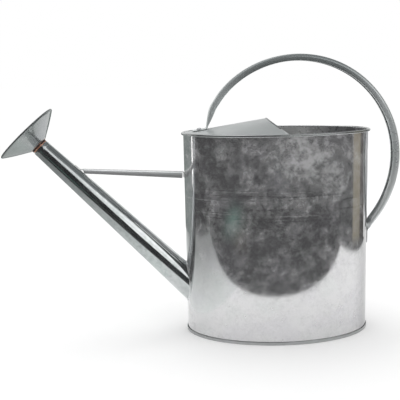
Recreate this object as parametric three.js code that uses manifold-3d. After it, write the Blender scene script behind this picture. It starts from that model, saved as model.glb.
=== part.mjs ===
// Galvanised oval watering can, rebuilt piece by piece.
// Millimetres, +Z up. Spout towards -X, handle towards +X, the can's mid plane is y = 0.
// The sheet pieces are modelled at their real gauge. Pieces that touch keep a gap of GAP.
import * as THREE from 'three';
import { mergeVertices } from 'three/addons/utils/BufferGeometryUtils.js';
import Module from 'manifold-3d';

const wasm = await Module();
wasm.setup();

// ---------------------------------------------------------------- driving dimensions
const A = 131.3;             // body half length, outside of the wall
const B = 84.4;              // body half width, outside of the wall
const H = 290;               // base to top of rim
const SHEET = 0.7;           // gauge of body, hood and base
const GAP = 0.3;             // clearance between touching pieces
const SEG = 48;              // divisions round the oval

const BEAD_R = 1.9;          // outside radius of the wired rim
const WIRE_R = 0.95;         // rim wire radius
const BASE_RECESS = 6.0;     // height of the base plate above the ground
const CHIME_H = 4.6;         // height of the folded base seam

const SPOUT_TILT = 44.8;     // spout axis above the horizontal, degrees
const MOUTH = [-333.2, 273.75]; // spout mouth centre, x and z
const MOUTH_R = 12.4;        // outside radius at the mouth
const ROOT_R = 20.35;        // outside radius where the axis meets the wall
const SPOUT_LEN = 285.4;     // mouth to wall along the axis
const SPOUT_T = 0.8;

const HOOD_PEAK = [-11.5, 306.6];   // highest point of the hood's free edge, x and z
const HOOD_FRONT = [-126.5, 289.0]; // where the ridge starts behind the front rim
const HOOD_SIDE_X = 7.5;     // x where the free edge meets the side rim
const HOOD_RIM_Z = 288.6;

const HOOP_C = [31, 249];    // centre of the carrying hoop, x and z
const HOOP_R = 146.3;        // radius of its outer skin
const HOOP_D = 9.3;          // depth of the rolled section
const HOOP_W = 21.6;         // width of the rolled section
const HOOP_T = 1.0;

const ROSE_TILT = 47.0;      // rose axis above the horizontal
const ROSE_R = 49.1;         // outside radius of the rose's rim
const ROSE_T = 0.6;

// ---------------------------------------------------------------- helpers
const rad = (d) => d * Math.PI / 180;
const lerp = (a, b, t) => a + (b - a) * t;

// Makes a geometry one merged, outward facing, indexed surface.
function tidy(geo) {
  geo = geo.index ? geo.toNonIndexed() : geo;
  geo.deleteAttribute('normal');
  geo.deleteAttribute('uv');
  geo.clearGroups();
  geo = mergeVertices(geo, 1e-4);
  const p = geo.attributes.position, idx = geo.index.array, out = [];
  let vol = 0;
  const a = new THREE.Vector3(), b = new THREE.Vector3(), c = new THREE.Vector3(), n = new THREE.Vector3();
  for (let i = 0; i < idx.length; i += 3) {
    const [i0, i1, i2] = [idx[i], idx[i + 1], idx[i + 2]];
    if (i0 === i1 || i1 === i2 || i2 === i0) continue;
    a.fromBufferAttribute(p, i0); b.fromBufferAttribute(p, i1); c.fromBufferAttribute(p, i2);
    n.crossVectors(b, c); vol += a.dot(n) / 6;
    out.push(i0, i1, i2);
  }
  if (vol < 0) for (let i = 0; i < out.length; i += 3) [out[i + 1], out[i + 2]] = [out[i + 2], out[i + 1]];
  geo.setIndex(out);
  geo.computeVertexNormals();
  return geo;
}

function toSolid(geo) {
  const g = tidy(geo);
  return new wasm.Manifold(new wasm.Mesh({
    numProp: 3,
    vertProperties: new Float32Array(g.attributes.position.array),
    triVerts: new Uint32Array(g.index.array),
  }));
}

function fromSolid(solid) {
  const m = solid.getMesh();
  const g = new THREE.BufferGeometry();
  const pos = new Float32Array(m.numVert * 3);
  for (let i = 0; i < m.numVert; i++) for (let k = 0; k < 3; k++) pos[i * 3 + k] = m.vertProperties[i * m.numProp + k];
  g.setAttribute('position', new THREE.BufferAttribute(pos, 3));
  g.setIndex(Array.from(m.triVerts));
  return tidy(g);
}

function warp(geo, fn) {
  const p = geo.attributes.position, v = new THREE.Vector3();
  for (let i = 0; i < p.count; i++) {
    v.fromBufferAttribute(p, i);
    fn(v);
    p.setXYZ(i, v.x, v.y, v.z);
  }
  return geo;
}

// A point of the oval at parameter th, moved outwards by off.
function oval(th, off) {
  const c = Math.cos(th), s = Math.sin(th);
  const nx = c / A, ny = s / B, l = Math.hypot(nx, ny);
  return [A * c + off * nx / l, B * s + off * ny / l];
}

// Turns a closed profile of [offset from the wall's outside, z] points round the oval.
// Offsets below -CORE_OFF shrink evenly to the centre, so a profile may reach the axis at -R0.
const R0 = 100, CORE_OFF = 6;
function ovalTurn(profile, segments = SEG) {
  const pts = profile.map(([o, z]) => new THREE.Vector2(R0 + o, z));
  const g = new THREE.LatheGeometry(pts, segments);
  return warp(g, (v) => {
    const r = Math.hypot(v.x, v.z);
    const th = Math.round(Math.atan2(v.x, v.z) / (2 * Math.PI / segments)) * (2 * Math.PI / segments);
    const off = r - R0, z = v.y;
    if (off >= -CORE_OFF) { const q = oval(th, off); v.set(q[0], q[1], z); }
    else { const q = oval(th, -CORE_OFF), k = r / (R0 - CORE_OFF); v.set(q[0] * k, q[1] * k, z); }
  });
}

// Turns a profile of [r, z] points round the Z axis.
function turn(profile, segments) {
  const g = new THREE.LatheGeometry(profile.map(([r, z]) => new THREE.Vector2(r, z)), segments);
  return g.rotateX(Math.PI / 2);
}

// Lofts one closed section per station; sections are lists of Vector3 of equal length.
function loft(sections) {
  const n = sections[0].length, pos = [], idx = [];
  for (const s of sections) for (const p of s) pos.push(p.x, p.y, p.z);
  for (let i = 0; i + 1 < sections.length; i++) {
    for (let k = 0; k < n; k++) {
      const a = i * n + k, b = i * n + (k + 1) % n, c = a + n, d = b + n;
      idx.push(a, b, c, b, d, c);
    }
  }
  for (const end of [0, sections.length - 1]) {
    const s = sections[end], o = s[0];
    const u = s[Math.floor(n / 4)].clone().sub(o).normalize();
    const w = new THREE.Vector3();
    for (let k = 1; k + 1 < n; k++) w.add(new THREE.Vector3().crossVectors(s[k].clone().sub(o), s[k + 1].clone().sub(o)));
    w.normalize();
    const v = new THREE.Vector3().crossVectors(w, u);
    const flat = s.map((p) => new THREE.Vector2(p.clone().sub(o).dot(u), p.clone().sub(o).dot(v)));
    for (const [a, b, c] of THREE.ShapeUtils.triangulateShape(flat, [])) {
      if (end === 0) idx.push(end * n + a, end * n + c, end * n + b);
      else idx.push(end * n + a, end * n + b, end * n + c);
    }
  }
  const g = new THREE.BufferGeometry();
  g.setAttribute('position', new THREE.Float32BufferAttribute(pos, 3));
  g.setIndex(idx);
  return tidy(g);
}

// Section of a strip with rolled edges: [across, inwards] points of outer then inner face.
// flat: half width of the flat, r: edge radius, turnDeg: how far the edge is rolled,
// lip: straight length after the roll, crown: fall of the edges, t: gauge.
function rolledSection({ flat, r, turnDeg, lip, crown = 0, t, n = 3 }) {
  const half = (inner) => {
    const out = [], rr = inner ? r - t : r, y0 = inner ? t : 0;
    const end = rad(turnDeg);
    for (let i = 0; i <= n; i++) {
      const a = end * i / n;
      out.push([flat + rr * Math.sin(a), y0 + rr * (1 - Math.cos(a))]);
    }
    const last = out[out.length - 1];
    out.push([last[0] + lip * Math.cos(end), last[1] + lip * Math.sin(end)]);
    return out;
  };
  const o = half(false), i = half(true);
  const mid = (y) => [[-flat / 2, y], [0, y], [flat / 2, y]];
  const pts = [
    ...o.slice().reverse().map(([x, y]) => [-x, y]), ...mid(0), ...o,
    ...i.slice().reverse(), ...mid(t).reverse(), ...i.map(([x, y]) => [-x, y]),
  ];
  const w = flat + r;
  return pts.map(([x, y]) => [x, y + crown * (x / w) ** 2]);
}

// Sweeps sections along a path in the XZ plane. The path is the outer face's mid line,
// walked so that the outer side is on its right hand.
function sweepStrip(stations, T) {
  const n = stations.length;
  return loft(stations.map((s, i) => {
    const a = stations[Math.max(i - 1, 0)], b = stations[Math.min(i + 1, n - 1)];
    let tx = b.x - a.x, tz = b.z - a.z;
    if (s.dir) [tx, tz] = s.dir;
    const l = Math.hypot(tx, tz); tx /= l; tz /= l;
    const inx = -tz, inz = tx;   // inwards is the left hand side
    return rolledSection({ t: T, ...s }).map(([u, w]) => new THREE.Vector3(s.x + inx * w, u, s.z + inz * w));
  }));
}

const mats = {
  zinc: { color: 0x9fa1a2, roughness: 0.32, metalness: 1.0 },
  zincLight: { color: 0xb4b7b8, roughness: 0.42, metalness: 1.0 },
  steel: { color: 0x8d9192, roughness: 0.38, metalness: 1.0 },
  copper: { color: 0xb87355, roughness: 0.35, metalness: 1.0 },
  rubber: { color: 0x1c1b1b, roughness: 0.7, metalness: 0.0 },
};

const can = new THREE.Group();
function add(parent, name, geo, mat) {
  const m = new THREE.Mesh(geo, new THREE.MeshStandardMaterial(mats[mat]));
  m.name = name;
  parent.add(m);
  return m;
}

// ---------------------------------------------------------------- spout frame
// The spout group's +Z runs out of the mouth, along the tube; its origin is the mouth's centre.
const spoutGroup = new THREE.Group();
spoutGroup.position.set(MOUTH[0], 0, MOUTH[1]);
spoutGroup.rotation.y = -rad(90 - SPOUT_TILT);
spoutGroup.updateMatrixWorld(true);
const TAPER = (ROOT_R - MOUTH_R) / SPOUT_LEN;
const spoutRadius = (s) => MOUTH_R + TAPER * s;   // s is measured from the mouth inwards

const toCan = (geo, group) => { group.updateMatrixWorld(true); return geo.applyMatrix4(group.matrixWorld); };

// ---------------------------------------------------------------- rivets: places shared with their holes
const SHANK_R = 1.6, HOLE_R = SHANK_R + GAP;
const ridgeSlope = (HOOD_PEAK[1] - HOOD_FRONT[1]) / (HOOD_PEAK[0] - HOOD_FRONT[0]);
const ridgeZ = (x) => HOOD_FRONT[1] + ridgeSlope * (x - HOOD_FRONT[0]);
const RIVETS = [
  { name: 'rear_rivet_upper', at: [A, 0, 137.5], out: [1, 0, 0], above: GAP + HOOP_T, below: SHEET + 0.2 },
  { name: 'rear_rivet_lower', at: [A, 0, 128.5], out: [1, 0, 0], above: GAP + HOOP_T, below: SHEET + 0.2 },
  { name: 'front_rivet_left', at: [-108.5, -6.5, ridgeZ(-108.5) + SHEET / 2], out: [-ridgeSlope, 0, 1], above: GAP + HOOP_T, below: SHEET + 0.35 },
  { name: 'front_rivet_right', at: [-108.5, 6.5, ridgeZ(-108.5) + SHEET / 2], out: [-ridgeSlope, 0, 1], above: GAP + HOOP_T, below: SHEET + 0.35 },
];
function placed(geo, r) {
  const q = new THREE.Quaternion().setFromUnitVectors(new THREE.Vector3(0, 0, 1), new THREE.Vector3(...r.out).normalize());
  return geo.applyQuaternion(q).translate(...r.at);
}
const rivetHole = (r) => toSolid(placed(new THREE.CylinderGeometry(HOLE_R, HOLE_R, 12, 12).rotateX(Math.PI / 2), r));

// ---------------------------------------------------------------- body shell: oval wall, wired rim, inside seam
const beadC = BEAD_R - SHEET, beadZ = H - BEAD_R;
const shellProfile = [];
{
  const lowZ = 1.1;
  // inside face going up, then round the outside of the curl, back along its inside, and down the outer face
  shellProfile.push([-SHEET, lowZ], [-SHEET, 150], [-SHEET, beadZ]);
  const steps = 9, sweepA = 300;
  for (let i = 1; i <= steps; i++) {
    const a = Math.PI - rad(sweepA) * i / steps;
    shellProfile.push([beadC + BEAD_R * Math.cos(a), beadZ + BEAD_R * Math.sin(a)]);
  }
  const ri = BEAD_R - SHEET;
  for (let i = steps; i >= 1; i--) {
    const a = Math.PI - rad(sweepA) * i / steps;
    shellProfile.push([beadC + ri * Math.cos(a), beadZ + ri * Math.sin(a)]);
  }
  shellProfile.push([0, beadZ - 0.4], [0, 150], [0, lowZ], [-SHEET, lowZ]);
}
let shell = toSolid(ovalTurn(shellProfile));
{
  // folded seam standing up inside the wall, beside the handle's tab
  const th = 4 * Math.PI / SEG, [sx, sy] = oval(th, -SHEET - 0.5), [nx, ny] = oval(th, 1);
  const seam = new THREE.BoxGeometry(1.2, 6, H - 24).rotateZ(Math.atan2(ny - oval(th, 0)[1], nx - oval(th, 0)[0]));
  shell = shell.add(toSolid(seam.translate(sx, sy, (H - 24) / 2 + 9)));
  // hole for the spout
  const cut = turn([[0, 60], [spoutRadius(-60) + GAP, 60], [spoutRadius(400) + GAP, -400], [0, -400]], 32);
  const nearWall = toSolid(new THREE.BoxGeometry(60, 80, 140).translate(-A + 5, 0, 72));
  shell = shell.subtract(toSolid(toCan(cut, spoutGroup)).intersect(nearWall));
  for (const r of RIVETS.slice(0, 2)) shell = shell.subtract(rivetHole(r));
}
add(can, 'body_shell', fromSolid(shell), 'zinc');

// ---------------------------------------------------------------- rim wire inside the curl
{
  const prof = [];
  for (let i = 0; i <= 6; i++) {
    const a = i / 6 * 2 * Math.PI;
    prof.push([beadC + WIRE_R * Math.cos(a), beadZ + WIRE_R * Math.sin(a)]);
  }
  prof[6] = prof[0].slice();
  add(can, 'rim_wire', tidy(ovalTurn(prof)), 'steel');
}

// ---------------------------------------------------------------- base plate with its folded seam
{
  const i1 = -SHEET - GAP, i2 = i1 - SHEET, o1 = 0.45, o2 = o1 + SHEET;
  const low = 0, fold = SHEET;
  const prof = [
    [-R0, BASE_RECESS], [i2 - 1.0, BASE_RECESS], [i2, BASE_RECESS - 1.0], [i2, low],
    [o2, low], [o2, CHIME_H - 0.5], [o2 - 0.35, CHIME_H], [o1, CHIME_H], [o1, fold], [i1, fold],
    [i1, BASE_RECESS - 0.4], [i2 - 0.6, BASE_RECESS + SHEET], [-R0, BASE_RECESS + SHEET],
  ];
  add(can, 'base_plate', tidy(ovalTurn(prof)), 'zinc');
}

// ---------------------------------------------------------------- hood over the front half of the mouth
{
  const inOff = -SHEET - GAP;              // edge of the hood, just inside the wall
  const Ai = A + inOff, Bi = B + inOff - 0.12;
  const frontX = (q) => -Ai * Math.sqrt(Math.max(0, 1 - q * q));
  const edgeX = (q) => HOOD_PEAK[0] + (HOOD_SIDE_X - HOOD_PEAK[0]) * q * q;
  const surf = (x, y) => {
    const w = Bi * Math.sqrt(Math.max(1e-4, 1 - (x / Ai) ** 2));
    const t = Math.min(1, Math.abs(y) / w);
    const rise = Math.max(0, ridgeZ(x) - HOOD_RIM_Z);
    return HOOD_RIM_Z + rise * (1 - t ** 1.6);
  };
  const NU = 10, NV = 20;
  const g = new THREE.BoxGeometry(1, 1, 1, NU, NV, 1);
  const cuts = [0, 0.08, 0.2, 0.34, 0.5, 0.65, 0.8, 0.92, 0.975, 0.982, 1];
  warp(g, (v) => {
    const p = cuts[Math.round((v.x + 0.5) * NU)];
    const q = Math.sin(Math.round((v.y + 0.5) * NV) / NV * Math.PI - Math.PI / 2);
    const side = v.z > 0 ? 1 : -1;
    const y = q * Bi, x = lerp(frontX(q), edgeX(q), p);
    const thick = p > 0.978 ? 1.7 : SHEET;  // the free edge is hemmed
    const up = side > 0 ? SHEET / 2 : SHEET / 2 - thick;
    v.set(x, y, surf(x, y) + up);
  });
  let hood = toSolid(g);
  // flange down the inside of the wall
  const shape = new THREE.Shape();
  const th0 = Math.acos(-0.02), N = 18, outer = [], inner = [];
  for (let i = 0; i <= N; i++) {
    const th = lerp(th0, 2 * Math.PI - th0, i / N);
    const o = oval(th, inOff - 0.1), k = oval(th, inOff - 0.1 - SHEET);
    outer.push(o); inner.push(k);
  }
  outer.forEach(([x, y], i) => (i ? shape.lineTo(x, y) : shape.moveTo(x, y)));
  inner.reverse().forEach(([x, y]) => shape.lineTo(x, y));
  shape.closePath();
  hood = hood.add(toSolid(new THREE.ExtrudeGeometry(shape, { depth: 7.4, bevelEnabled: false, steps: 1 }).translate(0, 0, HOOD_RIM_Z - 7.5)));
  for (const r of RIVETS.slice(2)) hood = hood.subtract(rivetHole(r));
  // trim to the inside of the wall
  const clip = toSolid(ovalTurn([[-R0, 270], [inOff, 270], [inOff, 320], [-R0, 320]]));
  hood = hood.intersect(clip);
  add(can, 'hood', fromSolid(hood), 'zincLight');
}

// ---------------------------------------------------------------- spout tube, tapered, with a lap seam
{
  const S = 40, ext = 60;
  const prof = [
    [spoutRadius(0), 0], [spoutRadius(5), -5], [spoutRadius(6), -6], [spoutRadius(SPOUT_LEN - 32), -(SPOUT_LEN - 32)],
    [spoutRadius(SPOUT_LEN - 29), -(SPOUT_LEN - 29)], [spoutRadius(SPOUT_LEN + ext), -(SPOUT_LEN + ext)],
    [spoutRadius(SPOUT_LEN + ext) - SPOUT_T, -(SPOUT_LEN + ext)], [spoutRadius(150) - SPOUT_T, -150],
    [spoutRadius(0) - SPOUT_T, 0], [spoutRadius(0), 0],
  ];
  const g = turn(prof, S);
  // the lap seam stands 0.5 mm proud over one division, on the upper near side
  const seamA = rad(-37);
  warp(g, (v) => {
    const r = Math.hypot(v.x, v.y), s = -v.z, a = Math.atan2(v.y, v.x);
    if (r > spoutRadius(s) - 0.2 && s > 5.5 && s < SPOUT_LEN - 30 && Math.abs(a - seamA) < Math.PI / S * 1.05) { const k = (r + 0.5) / r; v.x *= k; v.y *= k; }
  });
  let tube = toSolid(toCan(g, spoutGroup));
  const inside = toSolid(ovalTurn([[-R0, -60], [-SHEET - 3.2, -60], [-SHEET - 3.2, 330], [-R0, 330]]));
  tube = tube.subtract(inside);
  const keep = toSolid(new THREE.BoxGeometry(320, 90, 400).translate(-A - 160 + 30, 0, 150));
  tube = tube.intersect(keep);
  add(can, 'spout_tube', fromSolid(tube), 'zinc');
}

// ---------------------------------------------------------------- brace between spout and body, half round
{
  const topZ = (x) => 234.4 + 0.0521 * (-136.6 - x);
  const T = 0.8, flatTab = { flat: 5.2, r: 1.0, turnDeg: 8, lip: 0.2 };
  const st = [];
  const wx = -A - GAP;                      // outer face of the wall tab
  st.push({ x: wx, z: 226.0, dir: [0, 1], ...flatTab, crown: 0.25 });
  st.push({ x: wx, z: 232.2, dir: [0, 1], ...flatTab, crown: 0.25 });
  st.push({ x: wx - 0.5, z: 233.6, dir: [-0.5, 0.87], ...flatTab, crown: 0.1 });
  st.push({ x: wx - 1.8, z: topZ(wx - 1.8) - 0.05, dir: [-1, 0.1], ...flatTab });
  const x0 = wx - 3.0, x1 = -272.5;
  const r0 = 7.5, r1 = 5.0;
  for (let i = 0; i <= 8; i++) {
    const k = i / 8, x = lerp(x0, x1, k);
    st.push({ x, z: topZ(x), dir: [-1, 0.0521], flat: 1.0, r: lerp(r0, r1, k), turnDeg: 90, lip: lerp(1.1, 0.8, k) });
  }
  // the end flattens and lies along the top of the spout
  const d = [-Math.cos(rad(43.2)), Math.sin(rad(43.2))], nrm = [Math.sin(rad(43.2)), Math.cos(rad(43.2))];
  const onSpout = (x) => {                  // outer face of the tab at this x of the spout's upper line
    const s = (x - MOUTH[0] - MOUTH_R * Math.sin(rad(SPOUT_TILT))) / Math.cos(rad(43.2));
    const bx = MOUTH[0] + MOUTH_R * Math.sin(rad(SPOUT_TILT)) - d[0] * s, bz = MOUTH[1] + MOUTH_R * Math.cos(rad(SPOUT_TILT)) - d[1] * s;
    const off = GAP + 0.1 + T;
    return [bx + nrm[0] * off, bz + nrm[1] * off];
  };
  st.push({ x: -275.2, z: topZ(-275.2), dir: [-1, 0.08], flat: 3.2, r: 2.4, turnDeg: 40, lip: 0.3, crown: 0.3 });
  for (const [x, dir] of [[-279.6, [-0.9, 0.45]], [-281.6, d], [-286.5, d]]) {
    const [px, pz] = onSpout(x);
    st.push({ x: px, z: pz, dir, flat: 4.0, r: 1.0, turnDeg: 12, lip: 0.2, crown: 0.85 });
  }
  add(can, 'spout_brace', sweepStrip(st, T), 'zincLight');
}

// ---------------------------------------------------------------- carrying hoop, one strip with rolled edges
{
  const sec = (k, tabHalf = 11.6, crown = 0) => {
    const r = lerp(1.25, HOOP_D / 2, k);
    return { r, turnDeg: lerp(8, 180, k ** 0.8), lip: lerp(0.2, 1.8, k), flat: lerp(tabHalf, HOOP_W / 2 - HOOP_D / 2, Math.min(1, k * 1.15)), crown };
  };
  const st = [];
  const wx = A + GAP + HOOP_T;              // outer face of the rear tab
  st.push({ x: wx, z: 123.5, dir: [0, 1], ...sec(0, 9.5, 0.95) });
  st.push({ x: wx, z: 133.0, dir: [0, 1], ...sec(0, 11, 1.25) });
  st.push({ x: wx, z: 141.2, dir: [0, 1], ...sec(0, 11, 1.25) });
  st.push({ x: wx + 0.9, z: 143.6, dir: [0.4, 1], ...sec(0.02, 11, 0.8) });
  const arc = (deg, dr = 0) => [HOOP_C[0] + (HOOP_R + dr) * Math.cos(rad(deg)), HOOP_C[1] + (HOOP_R + dr) * Math.sin(rad(deg))];
  const put = (deg, k, dr = 0) => { const [x, z] = arc(deg, dr); st.push({ x, z, dir: [-Math.sin(rad(deg)), Math.cos(rad(deg))], ...sec(k) }); };
  put(-44.6, 0.12); put(-42.6, 0.5); put(-39.5, 0.68); put(-33, 0.78); put(-25, 0.88); put(-16, 1);
  for (let i = 0; i <= 15; i++) put(lerp(-7, 130, i / 15), 1);
  put(138, 0.99, -0.35);
  put(144.5, 0.96, -1.1);
  // the front leg straightens, its rolled edges fade, and it turns forwards into the foot
  const leg = [[-92.4, 325.0, 0.9], [-94.7, 317.5, 0.76], [-96.2, 309.5, 0.57], [-97.2, 303.0, 0.36], [-97.7, 298.4, 0.15], [-98.0, 296.3, 0.03]];
  leg.forEach(([x, z, k], i) => {
    const a = leg[Math.max(0, i - 1)], b = leg[Math.min(leg.length - 1, i + 1)];
    st.push({ x, z, dir: [b[0] - a[0], b[1] - a[1]], ...sec(k) });
  });
  const l = Math.hypot(1, ridgeSlope), dir = [-1 / l, -ridgeSlope / l], up = [-ridgeSlope / l, 1 / l];
  const onRidge = (x) => { const o = SHEET / 2 + GAP + HOOP_T; return [x + up[0] * o, ridgeZ(x) + up[1] * o]; };
  st.push({ x: -99.0, z: onRidge(-99)[1] + 0.45, dir: [-0.75, -0.6], ...sec(0, 11, 0.15) });
  for (const [x, w] of [[-100.8, 11], [-108.5, 11], [-117.5, 8.5]]) { const [px, pz] = onRidge(x); st.push({ x: px, z: pz, dir, ...sec(0, w, 0.25) }); }
  let hoop = toSolid(sweepStrip(st, HOOP_T));
  for (const r of RIVETS) hoop = hoop.subtract(rivetHole(r));
  add(can, 'handle_hoop', fromSolid(hoop), 'zinc');
}

// ---------------------------------------------------------------- rivets
for (const r of RIVETS) {
  const top = r.above + GAP, bot = -(r.below + GAP);
  const prof = [
    [0, top + 1.5], [1.6, top + 1.35], [2.9, top + 0.75], [3.4, top], [SHANK_R, top],
    [SHANK_R, bot], [3.1, bot], [3.0, bot - 0.9], [0, bot - 1.0],
  ];
  add(can, r.name, tidy(placed(turn(prof, 14), r)), 'steel');
}

// ---------------------------------------------------------------- rose: pushed into the spout's mouth
const rose = new THREE.Group();
rose.position.set(MOUTH[0], 0, MOUTH[1]);
rose.rotation.y = -rad(90 - ROSE_TILT);
can.add(rose);
const RS = 32;
{
  // ferrule: plug inside the mouth, collar against it, and a spigot up into the cone
  const prof = [
    [10.0, -12], [10.7, -12], [10.7, 0.6], [12.0, 0.6], [12.4, 1.1], [12.1, 1.7], [10.7, 1.7],
    [10.7, 8.5], [10.0, 8.5], [10.0, -12],
  ];
  add(rose, 'rose_ferrule', tidy(turn(prof, RS)), 'copper');
}
{
  const prof = [[11.0, 2.0], [11.8, 2.0], [12.3, 2.5], [12.3, 3.2], [11.8, 3.7], [11.0, 3.7], [11.0, 2.0]];
  add(rose, 'rose_seal', tidy(turn(prof, RS)), 'rubber');
}
{
  // cone: a collar round the spigot, a slightly full flare, and a rim rolled over the face plate
  const flare = (k) => [lerp(14.2, 48.0, k) + 0.9 * Math.sin(Math.PI * k ** 1.3), lerp(4.8, 25.7, k)];
  const out = [], inn = [];
  for (let i = 0; i <= 4; i++) {
    const k = i / 4, [r, z] = flare(k);
    out.push([r, z - 0.33]); inn.push([r - 0.33, z + 0.33]);
  }
  const prof = [
    [11.0, 4.0], [13.6, 4.0], ...out,
    [ROSE_R - 0.2, 26.2], [ROSE_R, 26.9], [ROSE_R - 0.1, 27.8], [ROSE_R - 0.8, 28.4], [46.7, 28.4],
    [46.7, 27.85], [ROSE_R - 0.9, 27.8], [ROSE_R - 0.65, 26.9], [48.1, 26.4],
    ...inn.reverse(), [13.3, 4.7], [11.7, 4.7], [11.7, 6.5], [11.0, 6.5], [11.0, 4.0],
  ];
  add(rose, 'rose_cone', tidy(turn(prof, RS)), 'zincLight');
}
{
  // face plate with rings of spray holes
  const R = 47.8, shape = new THREE.Shape();
  for (let i = 0; i < RS; i++) {
    const a = i / RS * 2 * Math.PI;
    if (i) shape.lineTo(R * Math.cos(a), R * Math.sin(a)); else shape.moveTo(R, 0);
  }
  shape.closePath();
  const ring = (n, r, ph) => {
    for (let i = 0; i < n; i++) {
      const c = (i + ph) / n * 2 * Math.PI, hole = new THREE.Path();
      for (let k = 0; k < 6; k++) {
        const a = -k / 6 * 2 * Math.PI, x = r * Math.cos(c) + 1.0 * Math.cos(a), y = r * Math.sin(c) + 1.0 * Math.sin(a);
        if (k) hole.lineTo(x, y); else hole.moveTo(x, y);
      }
      hole.closePath();
      shape.holes.push(hole);
    }
  };
  ring(1, 0, 0); ring(6, 11.5, 0); ring(12, 23, 0.5); ring(18, 34.5, 0);
  add(rose, 'rose_face', tidy(new THREE.ExtrudeGeometry(shape, { depth: 0.7, bevelEnabled: false, steps: 1 }).translate(0, 0, 26.8)), 'zincLight');
}

// ---------------------------------------------------------------- origin: bottom centre of the whole object's box
can.updateMatrixWorld(true);
const box = new THREE.Box3().setFromObject(can, true);
can.position.x = -(box.min.x + box.max.x) / 2;
can.position.y = -(box.min.y + box.max.y) / 2;
can.position.z = -box.min.z;
can.updateMatrixWorld(true);

export default can;
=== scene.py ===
import math

import bmesh
import bpy
import numpy as np
from mathutils import Matrix, Vector, noise
from mathutils.geometry import delaunay_2d_cdt


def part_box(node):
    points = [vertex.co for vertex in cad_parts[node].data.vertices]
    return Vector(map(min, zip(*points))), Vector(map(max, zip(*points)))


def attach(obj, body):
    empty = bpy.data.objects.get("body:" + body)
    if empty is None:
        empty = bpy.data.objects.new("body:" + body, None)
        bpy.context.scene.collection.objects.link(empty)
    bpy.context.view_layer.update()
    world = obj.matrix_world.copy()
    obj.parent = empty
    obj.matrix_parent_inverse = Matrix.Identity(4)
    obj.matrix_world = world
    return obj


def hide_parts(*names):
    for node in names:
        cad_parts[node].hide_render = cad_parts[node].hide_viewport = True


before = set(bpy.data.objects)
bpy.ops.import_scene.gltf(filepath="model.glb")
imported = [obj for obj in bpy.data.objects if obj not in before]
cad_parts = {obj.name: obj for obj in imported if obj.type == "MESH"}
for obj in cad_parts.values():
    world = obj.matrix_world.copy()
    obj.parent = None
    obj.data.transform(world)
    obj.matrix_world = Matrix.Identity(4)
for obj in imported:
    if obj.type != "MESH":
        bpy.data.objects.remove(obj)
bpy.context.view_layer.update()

scene = bpy.context.scene

# ------------------------------------------------------------------ dimensions, in millimetres in the can's own frame
A, B, H = 131.3, 84.4, 290.0
SHEET, GAP = 0.7, 0.3
BEAD_R, WIRE_R = 1.9, 0.95
BASE_RECESS, CHIME_H = 6.0, 4.6
SPOUT_TILT, MOUTH, MOUTH_R, ROOT_R, SPOUT_LEN, SPOUT_T = 44.8, (-333.2, 273.75), 12.4, 20.35, 285.4, 0.8
HOOD_PEAK, HOOD_FRONT, HOOD_SIDE_X, HOOD_RIM_Z = (-11.5, 306.6), (-126.5, 289.0), 7.5, 288.6
HOOP_C, HOOP_R, HOOP_D, HOOP_W, HOOP_T = (31.0, 249.0), 146.3, 9.3, 21.6, 1.0
ROSE_TILT, ROSE_R = 47.0, 49.1

b_lo, b_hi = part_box("base_plate")
DX = (b_lo.x + b_hi.x) / 2          # the oval's centre, in metres


def to_row(p):
    """Millimetres in the can's frame to metres in the row frame."""
    q = np.asarray(p, float) * 0.001
    q = q.copy()
    q[..., 0] += DX
    return q


def rad(d):
    return d * math.pi / 180


# ------------------------------------------------------------------ mesh helpers
def mesh_object(name, verts, faces, mat, angle=38.0, recalc=True):
    me = bpy.data.meshes.new(name)
    me.from_pydata([tuple(v) for v in verts], [], [tuple(int(i) for i in f) for f in faces])
    bm = bmesh.new()
    bm.from_mesh(me)
    bmesh.ops.remove_doubles(bm, verts=bm.verts, dist=2e-6)
    bmesh.ops.dissolve_degenerate(bm, dist=1e-7, edges=bm.edges)
    if recalc:
        bmesh.ops.recalc_face_normals(bm, faces=bm.faces)
    bm.to_mesh(me)
    bm.free()
    me.polygons.foreach_set("use_smooth", [True] * len(me.polygons))
    me.set_sharp_from_angle(angle=rad(angle))
    me.materials.append(mat)
    me.update()
    ob = bpy.data.objects.new(name, me)
    scene.collection.objects.link(ob)
    return ob


def settle(ob, body, slot, *nodes):
    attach(ob, body)
    if nodes:
        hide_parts(*nodes)
    return ob


def grid_faces(nu, nv, close_u, close_v, base=0):
    f = []
    for i in range(nu if close_u else nu - 1):
        for j in range(nv if close_v else nv - 1):
            a, b = base + i * nv + j, base + i * nv + (j + 1) % nv
            i2 = (i + 1) % nu
            c, d = base + i2 * nv + (j + 1) % nv, base + i2 * nv + j
            f.append((a, b, c, d))
    return f


def cap_faces(ring, m, mid=True):
    """Closes a section made of m outer points, one lip point, m inner points in the opposite order, one lip point."""
    f = []
    n = 2 * m + (2 if mid else 0)
    inner = lambda j: ring + (n - 2 - j if mid else n - 1 - j)
    for j in range(m - 1):
        f.append((ring + j, ring + j + 1, inner(j + 1), inner(j)))
    if mid:
        f.append((ring + m - 1, ring + m, ring + m + 1))
        f.append((ring + n - 1, ring, inner(0)))
    return f


def oval(th, off):
    c, s = np.cos(th), np.sin(th)
    nx, ny = c / A, s / B
    l = np.hypot(nx, ny)
    return A * c + off * nx / l, B * s + off * ny / l


def oval_turn(profile, n, shift=None):
    """Turns a closed profile of (offset, z) round the oval."""
    th = np.arange(n) / n * 2 * math.pi
    G = np.zeros((n, len(profile), 3))
    for j, (o, z) in enumerate(profile):
        if o >= -6:
            d = shift[:, j] if shift is not None else 0.0
            x, y = oval(th, o + d)
        else:
            x, y = oval(th, -6.0)
            k = (100 + o) / 94.0
            x, y = x * k, y * k
        G[:, j, 0], G[:, j, 1], G[:, j, 2] = x, y, z
    return G


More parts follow.
